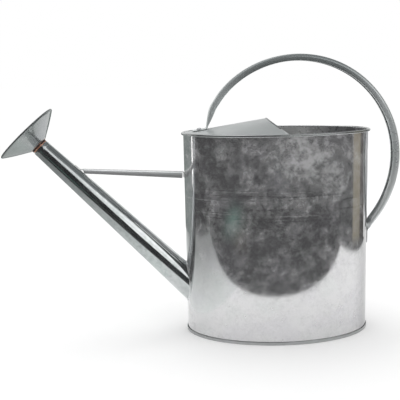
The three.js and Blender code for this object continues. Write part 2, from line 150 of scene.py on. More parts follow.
def turned(profile, n, place):
    """Turns a profile of (r, w) round local Z and places it. place maps an (..., 3) array to the can's frame."""
    th = np.arange(n) / n * 2 * math.pi
    G = np.zeros((n, len(profile), 3))
    for j, (r, w) in enumerate(profile):
        G[:, j, 0], G[:, j, 1], G[:, j, 2] = r * np.cos(th), r * np.sin(th), w
    return place(G)


def tilted(tilt):
    t = -rad(90 - tilt)
    ex, ez = np.array([math.cos(t), 0, -math.sin(t)]), np.array([math.sin(t), 0, math.cos(t)])
    o = np.array([MOUTH[0], 0, MOUTH[1]])
    return lambda P: o + P[..., 0:1] * ex + P[..., 1:2] * np.array([0, 1.0, 0]) + P[..., 2:3] * ez


spout_place, rose_place = tilted(SPOUT_TILT), tilted(ROSE_TILT)


def arc(cx, cz, r, a0, a1, n):
    return [(cx + r * math.cos(rad(lerp(a0, a1, i / n))), cz + r * math.sin(rad(lerp(a0, a1, i / n)))) for i in range(n + 1)]


def lerp(a, b, t):
    return a + (b - a) * t


def pchip(x, y, xi):
    """Monotone cubic through the points, which never overshoots them."""
    x, y, xi = np.asarray(x, float), np.asarray(y, float), np.asarray(xi, float)
    h, d = np.diff(x), np.diff(y) / np.diff(x)
    m = np.zeros(len(x))
    for k in range(1, len(x) - 1):
        if d[k - 1] * d[k] > 0:
            w1, w2 = 2 * h[k] + h[k - 1], h[k] + 2 * h[k - 1]
            m[k] = (w1 + w2) / (w1 / d[k - 1] + w2 / d[k])
    m[0], m[-1] = d[0], d[-1]
    i = np.clip(np.searchsorted(x, xi) - 1, 0, len(h) - 1)
    t = np.clip((xi - x[i]) / h[i], 0, 1)
    return ((2 * t**3 - 3 * t**2 + 1) * y[i] + (t**3 - 2 * t**2 + t) * h[i] * m[i]
            + (-2 * t**3 + 3 * t**2) * y[i + 1] + (t**3 - t**2) * h[i] * m[i + 1])


def smooth_path(pts, steps):
    """Centripetal Catmull-Rom through the points, steps[i] pieces between points i and i + 1, with each sample's place in point numbers."""
    P = [np.array(p, float) for p in pts]
    P = [2 * P[0] - P[1]] + P + [2 * P[-1] - P[-2]]
    out, u = [], []
    for i in range(len(pts) - 1):
        p0, p1, p2, p3 = P[i:i + 4]
        t0 = 0.0
        t1 = t0 + math.sqrt(np.linalg.norm(p1 - p0))
        t2 = t1 + math.sqrt(np.linalg.norm(p2 - p1))
        t3 = t2 + math.sqrt(np.linalg.norm(p3 - p2))
        for k in range(steps[i]):
            f = k / steps[i]
            t = lerp(t1, t2, f)
            a1 = (t1 - t) / (t1 - t0) * p0 + (t - t0) / (t1 - t0) * p1
            a2 = (t2 - t) / (t2 - t1) * p1 + (t - t1) / (t2 - t1) * p2
            a3 = (t3 - t) / (t3 - t2) * p2 + (t - t2) / (t3 - t2) * p3
            b1 = (t2 - t) / (t2 - t0) * a1 + (t - t0) / (t2 - t0) * a2
            b2 = (t3 - t) / (t3 - t1) * a2 + (t - t1) / (t3 - t1) * a3
            out.append((t2 - t) / (t2 - t1) * b1 + (t - t1) / (t2 - t1) * b2)
            u.append(i + f)
    out.append(P[-2])
    u.append(float(len(pts) - 1))
    return np.array(out), np.array(u)


def rolled_section(flat, r, turn, lip, crown, t, n=12, mids=7):
    """Outer points left to right, a lip point, inner points right to left, a lip point: (across, inwards)."""
    end = rad(turn)

    def half(inner):
        rr, y0 = (r - t, t) if inner else (r, 0.0)
        pts = [(flat + rr * math.sin(end * i / n), y0 + rr * (1 - math.cos(end * i / n))) for i in range(n + 1)]
        lx, ly = pts[-1]
        pts.append((lx + lip * math.cos(end), ly + lip * math.sin(end)))
        return pts

    o, i = half(False), half(True)
    mid = [flat * (2 * (k + 1) / (mids + 1) - 1) for k in range(mids)]
    outer = [(-x, y) for x, y in reversed(o)] + [(x, 0.0) for x in mid] + o
    inner = [(-x, y) for x, y in reversed(i)] + [(x, t) for x in mid] + i
    tip = ((o[-1][0] + i[-1][0]) / 2 + 0.4 * t * math.cos(end), (o[-1][1] + i[-1][1]) / 2 + 0.4 * t * math.sin(end))
    pts = outer + [tip] + inner[::-1] + [(-tip[0], tip[1])]
    w = flat + r
    return [(x, y + crown * (x / w) ** 2) for x, y in pts], len(outer)


def strip(name, path, params, T, mat):
    """A sheet strip along a path in the XZ plane, whose outer side is on the walker's right. params: one dict of section values per path point."""
    tang = np.gradient(path, axis=0)
    tang /= np.linalg.norm(tang, axis=1)[:, None]
    rows = []
    for (x, z), (tx, tz), s in zip(path, tang, params):
        sec, m = rolled_section(t=T, **s)
        ix, iz = -tz, tx
        rows.append([(x + ix * w, u, z + iz * w) for u, w in sec])
    G = np.array(rows)
    nu, nv = G.shape[:2]
    faces = grid_faces(nu, nv, False, True) + cap_faces(0, m) + cap_faces((nu - 1) * nv, m)
    return mesh_object(name, to_row(G.reshape(-1, 3)), faces, mat)


# ------------------------------------------------------------------ materials
class Nodes:
    """Short calls for building one material's node tree."""

    def __init__(self, name):
        self.m = bpy.data.materials.new(name)
        self.m.use_nodes = True
        self.t = self.m.node_tree
        self.t.nodes.clear()
        out = self.t.nodes.new("ShaderNodeOutputMaterial")
        self.b = self.t.nodes.new("ShaderNodeBsdfPrincipled")
        self.t.links.new(self.b.outputs[0], out.inputs[0])
        self.coord = self.t.nodes.new("ShaderNodeTexCoord").outputs["Object"]

    def put(self, socket, value):
        if hasattr(value, "is_output"):
            self.t.links.new(value, socket)
        else:
            socket.default_value = value

    def mapped(self, scale=(1, 1, 1), loc=(0, 0, 0), rot=(0, 0, 0)):
        n = self.t.nodes.new("ShaderNodeMapping")
        self.put(n.inputs["Vector"], self.coord)
        n.inputs["Scale"].default_value, n.inputs["Location"].default_value, n.inputs["Rotation"].default_value = scale, loc, rot
        return n.outputs[0]

    def noise(self, scale, detail=4.0, rough=0.55, distortion=0.0, vec=None):
        n = self.t.nodes.new("ShaderNodeTexNoise")
        self.put(n.inputs["Vector"], vec if vec is not None else self.coord)
        n.inputs["Scale"].default_value, n.inputs["Detail"].default_value = scale, detail
        n.inputs["Roughness"].default_value, n.inputs["Distortion"].default_value = rough, distortion
        return n.outputs["Fac"]

    def cells(self, scale, vec=None, feature="F1", out="Color"):
        n = self.t.nodes.new("ShaderNodeTexVoronoi")
        n.feature = feature
        self.put(n.inputs["Vector"], vec if vec is not None else self.coord)
        n.inputs["Scale"].default_value = scale
        s = n.outputs[out]
        if out == "Color":
            sep = self.t.nodes.new("ShaderNodeSeparateColor")
            self.put(sep.inputs[0], s)
            s = sep.outputs[0]
        return s

    def span(self, v, a, b, c=0.0, d=1.0, smooth=False):
        n = self.t.nodes.new("ShaderNodeMapRange")
        n.interpolation_type = "SMOOTHSTEP" if smooth else "LINEAR"
        n.clamp = True
        self.put(n.inputs["Value"], v)
        for k, x in (("From Min", a), ("From Max", b), ("To Min", c), ("To Max", d)):
            n.inputs[k].default_value = x
        return n.outputs[0]

    def math(self, op, a, b=0.0, c=None):
        n = self.t.nodes.new("ShaderNodeMath")
        n.operation = op
        self.put(n.inputs[0], a)
        self.put(n.inputs[1], b)
        if c is not None:
            self.put(n.inputs[2], c)
        return n.outputs[0]

    def mix(self, f, a, b):
        n = self.t.nodes.new("ShaderNodeMix")
        n.data_type = "RGBA"
        self.put(n.inputs[0], f)
        self.put(n.inputs[6], (*a, 1) if isinstance(a, tuple) else a)
        self.put(n.inputs[7], (*b, 1) if isinstance(b, tuple) else b)
        return n.outputs[2]

    def axis(self, k):
        n = self.t.nodes.new("ShaderNodeSeparateXYZ")
        self.put(n.inputs[0], self.coord)
        return n.outputs[k]

    def patch(self, at, size):
        """One soft round patch: 1 at its middle, 0 past its edge."""
        mp, gr = self.t.nodes.new("ShaderNodeMapping"), self.t.nodes.new("ShaderNodeTexGradient")
        mp.vector_type, gr.gradient_type = "TEXTURE", "QUADRATIC_SPHERE"
        self.put(mp.inputs["Vector"], self.coord)
        mp.inputs["Location"].default_value, mp.inputs["Scale"].default_value = at, size
        self.put(gr.inputs["Vector"], mp.outputs[0])
        return gr.outputs["Fac"]

    def bump(self, height, strength, distance, normal=None):
        n = self.t.nodes.new("ShaderNodeBump")
        n.inputs["Strength"].default_value, n.inputs["Distance"].default_value = strength, distance
        self.put(n.inputs["Height"], height)
        if normal is not None:
            self.put(n.inputs["Normal"], normal)
        return n.outputs[0]


def zinc(name, low=(0.50, 0.50, 0.52), high=(0.70, 0.71, 0.72), rough=(0.16, 0.34), patina=0.25, cloud=24.0,
         spangle=95.0, rolled=None, seed=0.0, bump=0.10, specks=0.5, brushed=None, grain_=0.30, edges=(0.40, 0.63), floor_=0.25, patches=(), darker_rougher_end=None, painted_light_and_shade_by_height=(), painted_shade_by_end=(), back=None):
    """Hot-dip galvanised sheet: crystals, cloudy dull patches, small bright specks, fine rolling marks."""
    k = Nodes(name)
    v = k.mapped(loc=(seed, seed * 0.7, -seed * 0.3))
    clouds = k.noise(cloud, 7.0, 0.60, 0.25, v)
    blots = k.noise(cloud * 3.1, 5.0, 0.6, 0.15, v)
    fine = k.noise(cloud * 14.0, 3.0, 0.6, 0.0, v)
    crystal = k.cells(spangle, v)
    crystal2 = k.cells(spangle * 2.3, v)
    dots = k.cells(cloud * 17.0, v, out="Distance")
    dot_pick = k.noise(cloud * 6.0, 2.0, 0.5, 0.0, v)
    dot = k.math("MULTIPLY", k.span(dots, 0.05, 0.22, 1.0, 0.0, True), k.span(dot_pick, 0.54, 0.66, 0.0, 1.0, True))
    dull = k.span(k.math("ADD", k.math("MULTIPLY", clouds, 0.62), k.math("MULTIPLY", blots, 0.38)), edges[0], edges[1], 0.0, 1.0, True)
    for at_, size_, power in patches:
        dull = k.math("MULTIPLY_ADD", k.math("MULTIPLY", k.patch(at_, size_), k.span(blots, 0.30, 0.62, 0.25, 1.35)), power, dull)
    dull = k.span(k.math("MULTIPLY_ADD", k.math("SUBTRACT", fine, 0.5), grain_, dull), 0.0, 1.0)
    shine = k.math("MULTIPLY_ADD", crystal, 0.6, k.math("MULTIPLY", crystal2, 0.4))
    tone = k.math("MULTIPLY_ADD", shine, 0.35, k.math("MULTIPLY", k.math("SUBTRACT", 1.0, dull), 0.65))
    colour = k.mix(tone, low, high)
    hue = k.noise(cloud * 0.8, 3.0, 0.5, 0.3, k.mapped(loc=(seed + 3.1, 1.7, 0.4)))
    colour = k.mix(k.math("MULTIPLY", k.span(hue, 0.50, 0.66, 0.0, 1.0, True), 0.09), colour, (0.55, 0.52, 0.62))
    colour = k.mix(k.math("MULTIPLY", k.span(hue, 0.50, 0.36, 0.0, 1.0, True), 0.08), colour, (0.50, 0.60, 0.55))
    colour = k.mix(k.math("MULTIPLY", dot, specks), colour, (0.86, 0.87, 0.88))
    ro = k.math("MULTIPLY_ADD", k.math("SUBTRACT", shine, 0.5), 0.05, k.span(dull, 0.0, 1.0, rough[0], rough[1]))
    height = k.math("MULTIPLY_ADD", crystal, 0.25, k.math("MULTIPLY", fine, 0.35))
    normal = k.bump(height, bump, 0.0003) if bump else None
    if rolled is not None:
        z = k.axis(2)
        lines = k.noise(1.0, 2.0, 0.55, 0.0, k.mapped(scale=(4.0, 4.0, 720.0), loc=(seed, 0, seed)))
        broken = k.noise(11.0, 2.0, 0.5, 0.0, k.mapped(scale=(1.0, 1.0, 22.0), loc=(0.3, seed, 0)))
        band = k.math("MULTIPLY", k.span(z, rolled[0] - 0.012, rolled[0] + 0.006, 0.0, 1.0, True), k.span(z, rolled[1] - 0.006, rolled[1] + 0.012, 1.0, 0.0, True))
        picked = k.math("MULTIPLY", band, k.span(broken, 0.45, 0.60, 0.0, 1.0, True))
        mark = k.math("MULTIPLY", k.span(lines, 0.54, 0.63, 0.0, 1.0, True), picked)
        shade = k.math("MULTIPLY", k.span(lines, 0.46, 0.37, 0.0, 1.0, True), picked)
        dull = k.span(k.math("MULTIPLY_ADD", mark, 0.24, k.math("MULTIPLY_ADD", shade, -0.22, dull)), 0.0, 1.0)
        colour = k.mix(k.math("MULTIPLY", shade, 0.06), colour, (0.34, 0.34, 0.35))
        ro = k.math("MULTIPLY_ADD", mark, 0.10, ro)
        normal = k.bump(k.math("MULTIPLY", lines, k.math("MULTIPLY_ADD", band, 0.9, 0.1)), 0.006, 0.0003, normal)
    if brushed is not None:
        grain = k.noise(1.0, 3.0, 0.6, 0.0, k.mapped(scale=brushed, loc=(seed, 0.2, 0.1)))
        colour = k.mix(k.span(grain, 0.35, 0.7, 0.0, 0.22), colour, (0.80, 0.81, 0.82))
        ro = k.math("MULTIPLY_ADD", k.math("SUBTRACT", grain, 0.5), 0.12, ro)
        normal = k.bump(grain, 0.06, 0.0003, normal)
    if darker_rougher_end is not None:                              # darker and rougher towards one end
        f = k.span(k.axis(0), darker_rougher_end[0], darker_rougher_end[1], 1.0, 0.0, True)
        f = k.math("MULTIPLY", f, k.span(fine, 0.3, 0.7, 0.7, 1.1))
        ro = k.math("MULTIPLY_ADD", f, darker_rougher_end[2], ro)
        colour = k.mix(k.math("MULTIPLY", f, darker_rougher_end[3]), colour, (0.20, 0.22, 0.22))
    for z0, z1, amount, tint in painted_light_and_shade_by_height:                # painted shade and painted light by height: each entry tints a height band towards its colour
        colour = k.mix(k.span(k.axis(2), z0, z1, 0.0, amount, True), colour, tint)
    for x0, x1, z0, z1, amount, tint in painted_shade_by_end:         # painted shade towards one end, fading out above a height
        f = k.math("MULTIPLY", k.span(k.axis(0), x0, x1, 0.0, amount, True), k.span(k.axis(2), z0, z1, 1.0, 0.0, True))
        colour = k.mix(f, colour, tint)
    if back is not None:                              # painted light: paler on the far side
        colour = k.mix(k.span(k.axis(1), back[0], back[1], 0.0, back[2], True), colour, back[3])
    k.put(k.b.inputs["Base Color"], colour)
    k.put(k.b.inputs["Roughness"], ro)
    k.put(k.b.inputs["Metallic"], k.span(k.math("MULTIPLY_ADD", dot, specks, dull), 0.0, 1.0, 1.0 - patina * floor_, 1.0 - patina))
    if normal is not None:
        k.put(k.b.inputs["Normal"], normal)
    return k.m


M = {}
# the wall's lower right end is painted darker: painted shade
M["wall"] = zinc("zinc_wall", low=(0.57, 0.57, 0.575), high=(0.70, 0.70, 0.705), rough=(0.08, 0.16), patina=0.53, cloud=34.0, rolled=(0.176, 0.212), seed=1.3, bump=0.01, specks=0.50, grain_=0.45, edges=(0.41, 0.84), floor_=0.12,
                 patches=[((DX + 0.024, -0.084, 0.246), (0.070, 0.10, 0.052), 0.56), ((DX + 0.030, -0.084, 0.285), (0.150, 0.14, 0.110), 0.50), ((DX + 0.075, -0.072, 0.225), (0.050, 0.10, 0.080), 0.42), ((DX - 0.010, -0.084, 0.110), (0.050, 0.10, 0.030), 0.15)],
                 painted_shade_by_end=[(DX + 0.098, DX + 0.129, 0.160, 0.190, 0.50, (0.16, 0.16, 0.165))])
# the rolled rim is painted darker than the wall as shade, and paler on its far side as painted light
M["rim"] = zinc("zinc_rim_painted_shade_and_light", low=(0.36, 0.37, 0.37), high=(0.46, 0.47, 0.47), rough=(0.22, 0.30), patina=0.22, cloud=30.0, seed=1.9, bump=0.0, specks=0.0, grain_=0.1, edges=(0.30, 0.80), back=(0.0, 0.05, 0.85, (0.84, 0.85, 0.85)))
# the inside's right part is painted darker: painted shade
M["inside"] = zinc("zinc_inside", low=(0.66, 0.67, 0.67), high=(0.84, 0.84, 0.84), rough=(0.22, 0.36), patina=0.70, cloud=30.0, seed=2.2, bump=0.02, specks=0.08, grain_=0.2, floor_=0.5,
                   painted_shade_by_end=[(DX + 0.045, DX + 0.105, 0.40, 0.50, 0.82, (0.16, 0.16, 0.17))])
M["base"] = zinc("zinc_base", low=(0.36, 0.37, 0.37), high=(0.46, 0.47, 0.47), rough=(0.28, 0.40), patina=0.30, seed=4.1, bump=0.02, specks=0.1)
M["hood"] = zinc("zinc_hood", low=(0.39, 0.41, 0.41), high=(0.45, 0.47, 0.47), rough=(0.30, 0.38), patina=0.62, cloud=24.0, seed=7.7, bump=0.0, specks=0.03, grain_=0.04, edges=(0.25, 0.85), floor_=0.85)
# the hood's folded edge is painted near black: painted shade along the fold
M["hem"] = zinc("zinc_hood_hem_painted_shade", low=(0.14, 0.15, 0.15), high=(0.20, 0.21, 0.21), rough=(0.25, 0.35), patina=0.30, cloud=40.0, seed=7.9, bump=0.0, specks=0.0, grain_=0.1)
# the spout is darker and rougher towards its mouth
M["spout"] = zinc("zinc_spout", low=(0.46, 0.49, 0.49), high=(0.62, 0.64, 0.64), rough=(0.08, 0.15), patina=0.04, cloud=60.0, seed=2.9, bump=0.012, specks=0.12, grain_=0.5, darker_rougher_end=(DX - 0.315, DX - 0.185, 0.05, 0.30))
M["brace"] = zinc("zinc_brace", low=(0.54, 0.55, 0.55), high=(0.62, 0.63, 0.63), rough=(0.20, 0.26), patina=0.32, cloud=20.0, spangle=120.0, seed=5.2, bump=0.0, specks=0.0, grain_=0.03, edges=(0.25, 0.85), floor_=0.85)
# the hoop's top is painted darker as shade, and its lower parts paler as painted light
M["hoop"] = zinc("zinc_hoop", low=(0.47, 0.50, 0.50), high=(0.56, 0.59, 0.59), rough=(0.26, 0.34), patina=0.50, cloud=16.0, spangle=120.0, seed=9.4, bump=0.0, specks=0.0, grain_=0.03, edges=(0.25, 0.85), floor_=0.85,
                 painted_light_and_shade_by_height=[(0.325, 0.385, 0.85, (0.19, 0.21, 0.21)), (0.255, 0.200, 0.50, (0.78, 0.80, 0.80))])
# the rose's zinc is painted darker than the body's: painted shade
M["rose"] = zinc("zinc_rose", low=(0.29, 0.31, 0.31), high=(0.36, 0.38, 0.375), rough=(0.13, 0.18), patina=0.28, cloud=22.0, spangle=110.0, seed=6.6, bump=0.0, specks=0.02, grain_=0.03, edges=(0.28, 0.80), floor_=0.6)
# the rose's rolled bead is painted near black: painted shade
M["bead"] = zinc("zinc_rose_bead_painted_shade", low=(0.12, 0.13, 0.13), high=(0.20, 0.21, 0.21), rough=(0.25, 0.35), patina=0.25, cloud=60.0, seed=6.9, bump=0.0, specks=0.0, grain_=0.1)
M["face"] = zinc("zinc_rose_face", low=(0.40, 0.42, 0.42), high=(0.50, 0.52, 0.52), rough=(0.20, 0.30), patina=0.30, cloud=26.0, seed=8.8, bump=0.005, specks=0.05, grain_=0.08, edges=(0.28, 0.80))
M["rivet"] = zinc("zinc_rivet", low=(0.48, 0.49, 0.50), high=(0.66, 0.67, 0.68), rough=(0.24, 0.36), patina=0.30, cloud=90.0, spangle=300.0, seed=3.3, bump=0.0)
M["solder"] = zinc("zinc_fillet", low=(0.60, 0.61, 0.62), high=(0.76, 0.77, 0.77), rough=(0.26, 0.40), patina=0.3, cloud=90.0, spangle=260.0, seed=3.9, bump=0.01)


def simple_metal(name, low, high, rough, scale, bump=0.08, stretch=(1, 1, 1), metal=1.0):
    k = Nodes(name)
    v = k.mapped(scale=stretch)
    n1, n2 = k.noise(scale, 5.0, 0.6, 0.3, v), k.noise(scale * 7, 3.0, 0.6, 0.0, v)
    f = k.span(k.math("MULTIPLY_ADD", n2, 0.4, k.math("MULTIPLY", n1, 0.6)), 0.35, 0.65, 0.0, 1.0, True)
    k.put(k.b.inputs["Base Color"], k.mix(f, low, high))
    k.put(k.b.inputs["Roughness"], k.span(f, 0.0, 1.0, rough[1], rough[0]))
    k.b.inputs["Metallic"].default_value = metal
    k.put(k.b.inputs["Normal"], k.bump(n2, bump, 0.0002))
    return k.m


M["copper"] = simple_metal("copper_ferrule", (0.62, 0.30, 0.20), (0.86, 0.52, 0.38), (0.22, 0.38), 120.0, metal=0.75)
M["wire"] = simple_metal("drawn_wire", (0.30, 0.30, 0.30), (0.48, 0.48, 0.48), (0.30, 0.45), 200.0)


def rubber():
    k = Nodes("rubber_ring")
    n1, n2 = k.noise(180.0, 4.0, 0.6), k.noise(900.0, 2.0, 0.5)
    k.put(k.b.inputs["Base Color"], k.mix(k.span(n1, 0.35, 0.7), (0.014, 0.012, 0.012), (0.045, 0.040, 0.038)))
    k.put(k.b.inputs["Roughness"], k.span(n1, 0.3, 0.7, 0.55, 0.8))
    k.put(k.b.inputs["Normal"], k.bump(n2, 0.15, 0.0002))
    return k.m


M["rubber"] = rubber()

# ------------------------------------------------------------------ body wall, with its wired rim
N_WALL = 256
bead_c, bead_z = BEAD_R - SHEET, H - BEAD_R
levels = [1.1, 2.4, 4.5, 8, 14, 22, 32, 44, 56, 68, 80, 92, 104, 116, 128, 140, 152, 164, 176, 188, 200, 212, 224, 236, 248, 258, 266, 273, 279, 283.5, 286.5]


def waviness(th, z):
    x, y = A * math.cos(th), B * math.sin(th)
    fade = min(1.0, max(0.0, (z - 4) / 40)) * min(1.0, max(0.0, (286 - z) / 30))
    v = noise.noise(Vector((x * 0.010, y * 0.010, z * 0.009)) + Vector((3.7, 1.2, 5.5)))
    w = noise.noise(Vector((x * 0.028, y * 0.028, z * 0.024)) + Vector((11.2, 4.1, 2.3)))
    calm = 1 - 0.85 * abs(math.cos(th)) ** 3
    return fade * calm * (0.13 * v + 0.030 * w)


prof, tags = [], []
for z in levels:
    prof.append((-SHEET, z)); tags.append(z)
curl_o = [(bead_c + BEAD_R * math.cos(math.pi - rad(300) * i / 30), bead_z + BEAD_R * math.sin(math.pi - rad(300) * i / 30)) for i in range(31)]
ri = BEAD_R - SHEET
curl_i = [(bead_c + ri * math.cos(math.pi - rad(300) * i / 30), bead_z + ri * math.sin(math.pi - rad(300) * i / 30)) for i in range(31)]
for p in curl_o:
    prof.append(p); tags.append(None)
ea = math.pi - rad(300) - 0.16
prof.append((bead_c + (BEAD_R + ri) / 2 * math.cos(ea), bead_z + (BEAD_R + ri) / 2 * math.sin(ea))); tags.append(None)
for p in reversed(curl_i):
    prof.append(p); tags.append(None)
for z in reversed(levels):
    prof.append((0.0, z)); tags.append(z)
prof.append((-0.35, 0.85)); tags.append(None)

shift = np.zeros((N_WALL, len(prof)))
wave = {z: [waviness(i / N_WALL * 2 * math.pi, z) for i in range(N_WALL)] for z in levels}
for j, z in enumerate(tags):
    if z is not None:
        shift[:, j] = wave[z]
G = oval_turn(prof, N_WALL, shift)
wall = mesh_object("body_wall", to_row(G.reshape(-1, 3)), grid_faces(*G.shape[:2], True, True), M["wall"], angle=42)


def spout_radius(s):
    return MOUTH_R + (ROOT_R - MOUTH_R) / SPOUT_LEN * s


# the hole for the spout and two rivet holes
cut_rows = []
for s in (228.0, 348.0):
    r = spout_radius(s) + GAP * 0.6
    cut_rows.append([(r * math.cos(2 * math.pi * i / 96), r * math.sin(2 * math.pi * i / 96), -s) for i in range(96)])
cg = spout_place(np.array(cut_rows))
cv, cf = [tuple(p) for p in to_row(cg.reshape(-1, 3))], grid_faces(2, 96, False, True) + [tuple(range(96)), tuple(range(96, 192))]
for zc in (137.5, 128.5):
    base = len(cv)
    for x in (A - 6, A + 6):
        cv += [tuple(to_row((x, 1.75 * math.cos(2 * math.pi * i / 24), zc + 1.75 * math.sin(2 * math.pi * i / 24)))) for i in range(24)]
    cf += grid_faces(2, 24, False, True, base) + [tuple(range(base, base + 24)), tuple(range(base + 24, base + 48))]
cutter = mesh_object("cutter", cv, cf, M["wall"])
mod = wall.modifiers.new("holes", "BOOLEAN")
mod.operation, mod.solver, mod.object = "DIFFERENCE", "EXACT", cutter
dg = bpy.context.evaluated_depsgraph_get()
cut_mesh = bpy.data.meshes.new_from_object(wall.evaluated_get(dg))
wall.modifiers.clear()
wall.data = cut_mesh
bpy.data.objects.remove(cutter)
wall.data.polygons.foreach_set("use_smooth", [True] * len(wall.data.polygons))
wall.data.set_sharp_from_angle(angle=rad(42))
wall.data.materials.append(M["inside"])
wall.data.materials.append(M["rim"])
for pl in wall.data.polygons:                       # the inner face is duller than the outside
    c, nn = pl.center, pl.normal
    if nn.x * (c.x - DX) / A**2 + nn.y * c.y / B**2 < 0 and abs(nn.z) < 0.5 and c.z < (bead_z - 0.3) / 1000:
        pl.material_index = 1
    elif c.z > 0.2864:                              # the rolled rim
        pl.material_index = 2
settle(wall, "can", "galvanised_wall", "body_shell")

# the folded seam inside the wall
th = 15 / 180 * math.pi
sx, sy = (float(v) for v in oval(np.array(th), -SHEET))
ox, oy = (float(v) for v in oval(np.array(th), 1.0 - SHEET))
nrm = np.array([ox - sx, oy - sy]); nrm /= np.linalg.norm(nrm)
tng = np.array([-nrm[1], nrm[0]])
sec = [(-3.0, -0.25), (-3.05, 0.45), (-2.75, 0.95), (-2.2, 1.15), (2.2, 1.15), (2.75, 0.95), (3.05, 0.45), (3.0, -0.25)]
rows = []
for z, k in [(9, 0.55), (10, 0.9), (12, 1.0)] + [(12 + 261 * i / 20, 1.0) for i in range(1, 20)] + [(273, 1.0), (274.3, 0.9), (275, 0.55)]:
    rows.append([(sx + tng[0] * u - nrm[0] * w * k, sy + tng[1] * u - nrm[1] * w * k, z) for u, w in sec])
G = np.array(rows)
seam = mesh_object("body_wall_seam", to_row(G.reshape(-1, 3)), grid_faces(*G.shape[:2], False, True) + [tuple(range(8)), tuple(range((len(rows) - 1) * 8, len(rows) * 8))], M["inside"], angle=50)
settle(seam, "can", "galvanised_wall")

# ------------------------------------------------------------------ rim wire
G = oval_turn([(bead_c + WIRE_R * math.cos(2 * math.pi * i / 12), bead_z + WIRE_R * math.sin(2 * math.pi * i / 12)) for i in range(12)], N_WALL)
wire = mesh_object("rim_wire_round", to_row(G.reshape(-1, 3)), grid_faces(*G.shape[:2], True, True), M["wire"])
settle(wire, "can", "steel_wire", "rim_wire")

# ------------------------------------------------------------------ base plate with its folded seam
i1, i2, o1 = -SHEET - GAP, -SHEET * 2 - GAP, 0.45
o2 = o1 + SHEET
prof = [(-100, BASE_RECESS + 0.9)]
prof += [(-100 + 88 * k, BASE_RECESS + 0.9 * (1 - k**2)) for k in (0.15, 0.3, 0.45, 0.6, 0.75, 0.88, 0.96)]
prof += [(-8.0, BASE_RECESS - 0.05), (-4.2, BASE_RECESS - 0.05)]
prof += [(i2 - 0.8 + 0.8 * math.sin(rad(a)), BASE_RECESS - 0.85 + 0.8 * math.cos(rad(a))) for a in (0, 30, 60, 90)]
prof += [(i2, 3.0), (i2, 0.7)]
prof += [(i2 + 0.6 - 0.6 * math.cos(rad(a)), 0.6 - 0.6 * math.sin(rad(a))) for a in (15, 45, 70, 90)]
prof += [(o2 - 0.55, 0.0)]
prof += [(o2 - 0.55 + 0.55 * math.sin(rad(a)), 0.55 - 0.55 * math.cos(rad(a))) for a in (20, 45, 70, 90)]
prof += [(o2, 1.6), (o2, 3.2), (o2, CHIME_H - 0.45), (o2 - 0.12, CHIME_H - 0.15), (o2 - 0.35, CHIME_H), (o1 + 0.12, CHIME_H - 0.05), (o1, CHIME_H - 0.3), (o1, 2.4), (o1, SHEET), (i1, SHEET), (i1, 3.0)]
prof += [(i1 - 0.55 + 0.55 * math.cos(rad(a)), BASE_RECESS + 0.1 + 0.55 * math.sin(rad(a))) for a in (0, 30, 60, 90)]
prof += [(-4.2, BASE_RECESS + 0.65), (-8.0, BASE_RECESS + 0.65)]
prof += [(-100 + 88 * k, BASE_RECESS + 0.7 + 0.9 * (1 - k**2)) for k in (0.96, 0.88, 0.75, 0.6, 0.45, 0.3, 0.15)]
prof += [(-100, BASE_RECESS + 1.6)]
G = oval_turn(prof, 192)
base = mesh_object("base_plate_folded", to_row(G.reshape(-1, 3)), grid_faces(*G.shape[:2], True, False), M["base"], angle=40)
settle(base, "can", "galvanised_base", "base_plate")

# ------------------------------------------------------------------ hood over the front half of the mouth
Ai, Bi = A - SHEET - GAP, B - SHEET - GAP - 0.12
slope = (HOOD_PEAK[1] - HOOD_FRONT[1]) / (HOOD_PEAK[0] - HOOD_FRONT[0])


def ridge_z(x):
    return HOOD_FRONT[1] + slope * (x - HOOD_FRONT[0])


def hood_surf(x, y):
    w = Bi * math.sqrt(max(1e-4, 1 - (x / Ai) ** 2))
    t = min(1.0, abs(y) / w)
    rise = max(0.0, ridge_z(x) - HOOD_RIM_Z)
    dent = 0.22 * noise.noise(Vector((x * 0.03, y * 0.03, 7.1))) * min(1.0, rise / 4)
    return HOOD_RIM_Z + rise * (1 - (t * t + 0.0004) ** 0.8) + dent


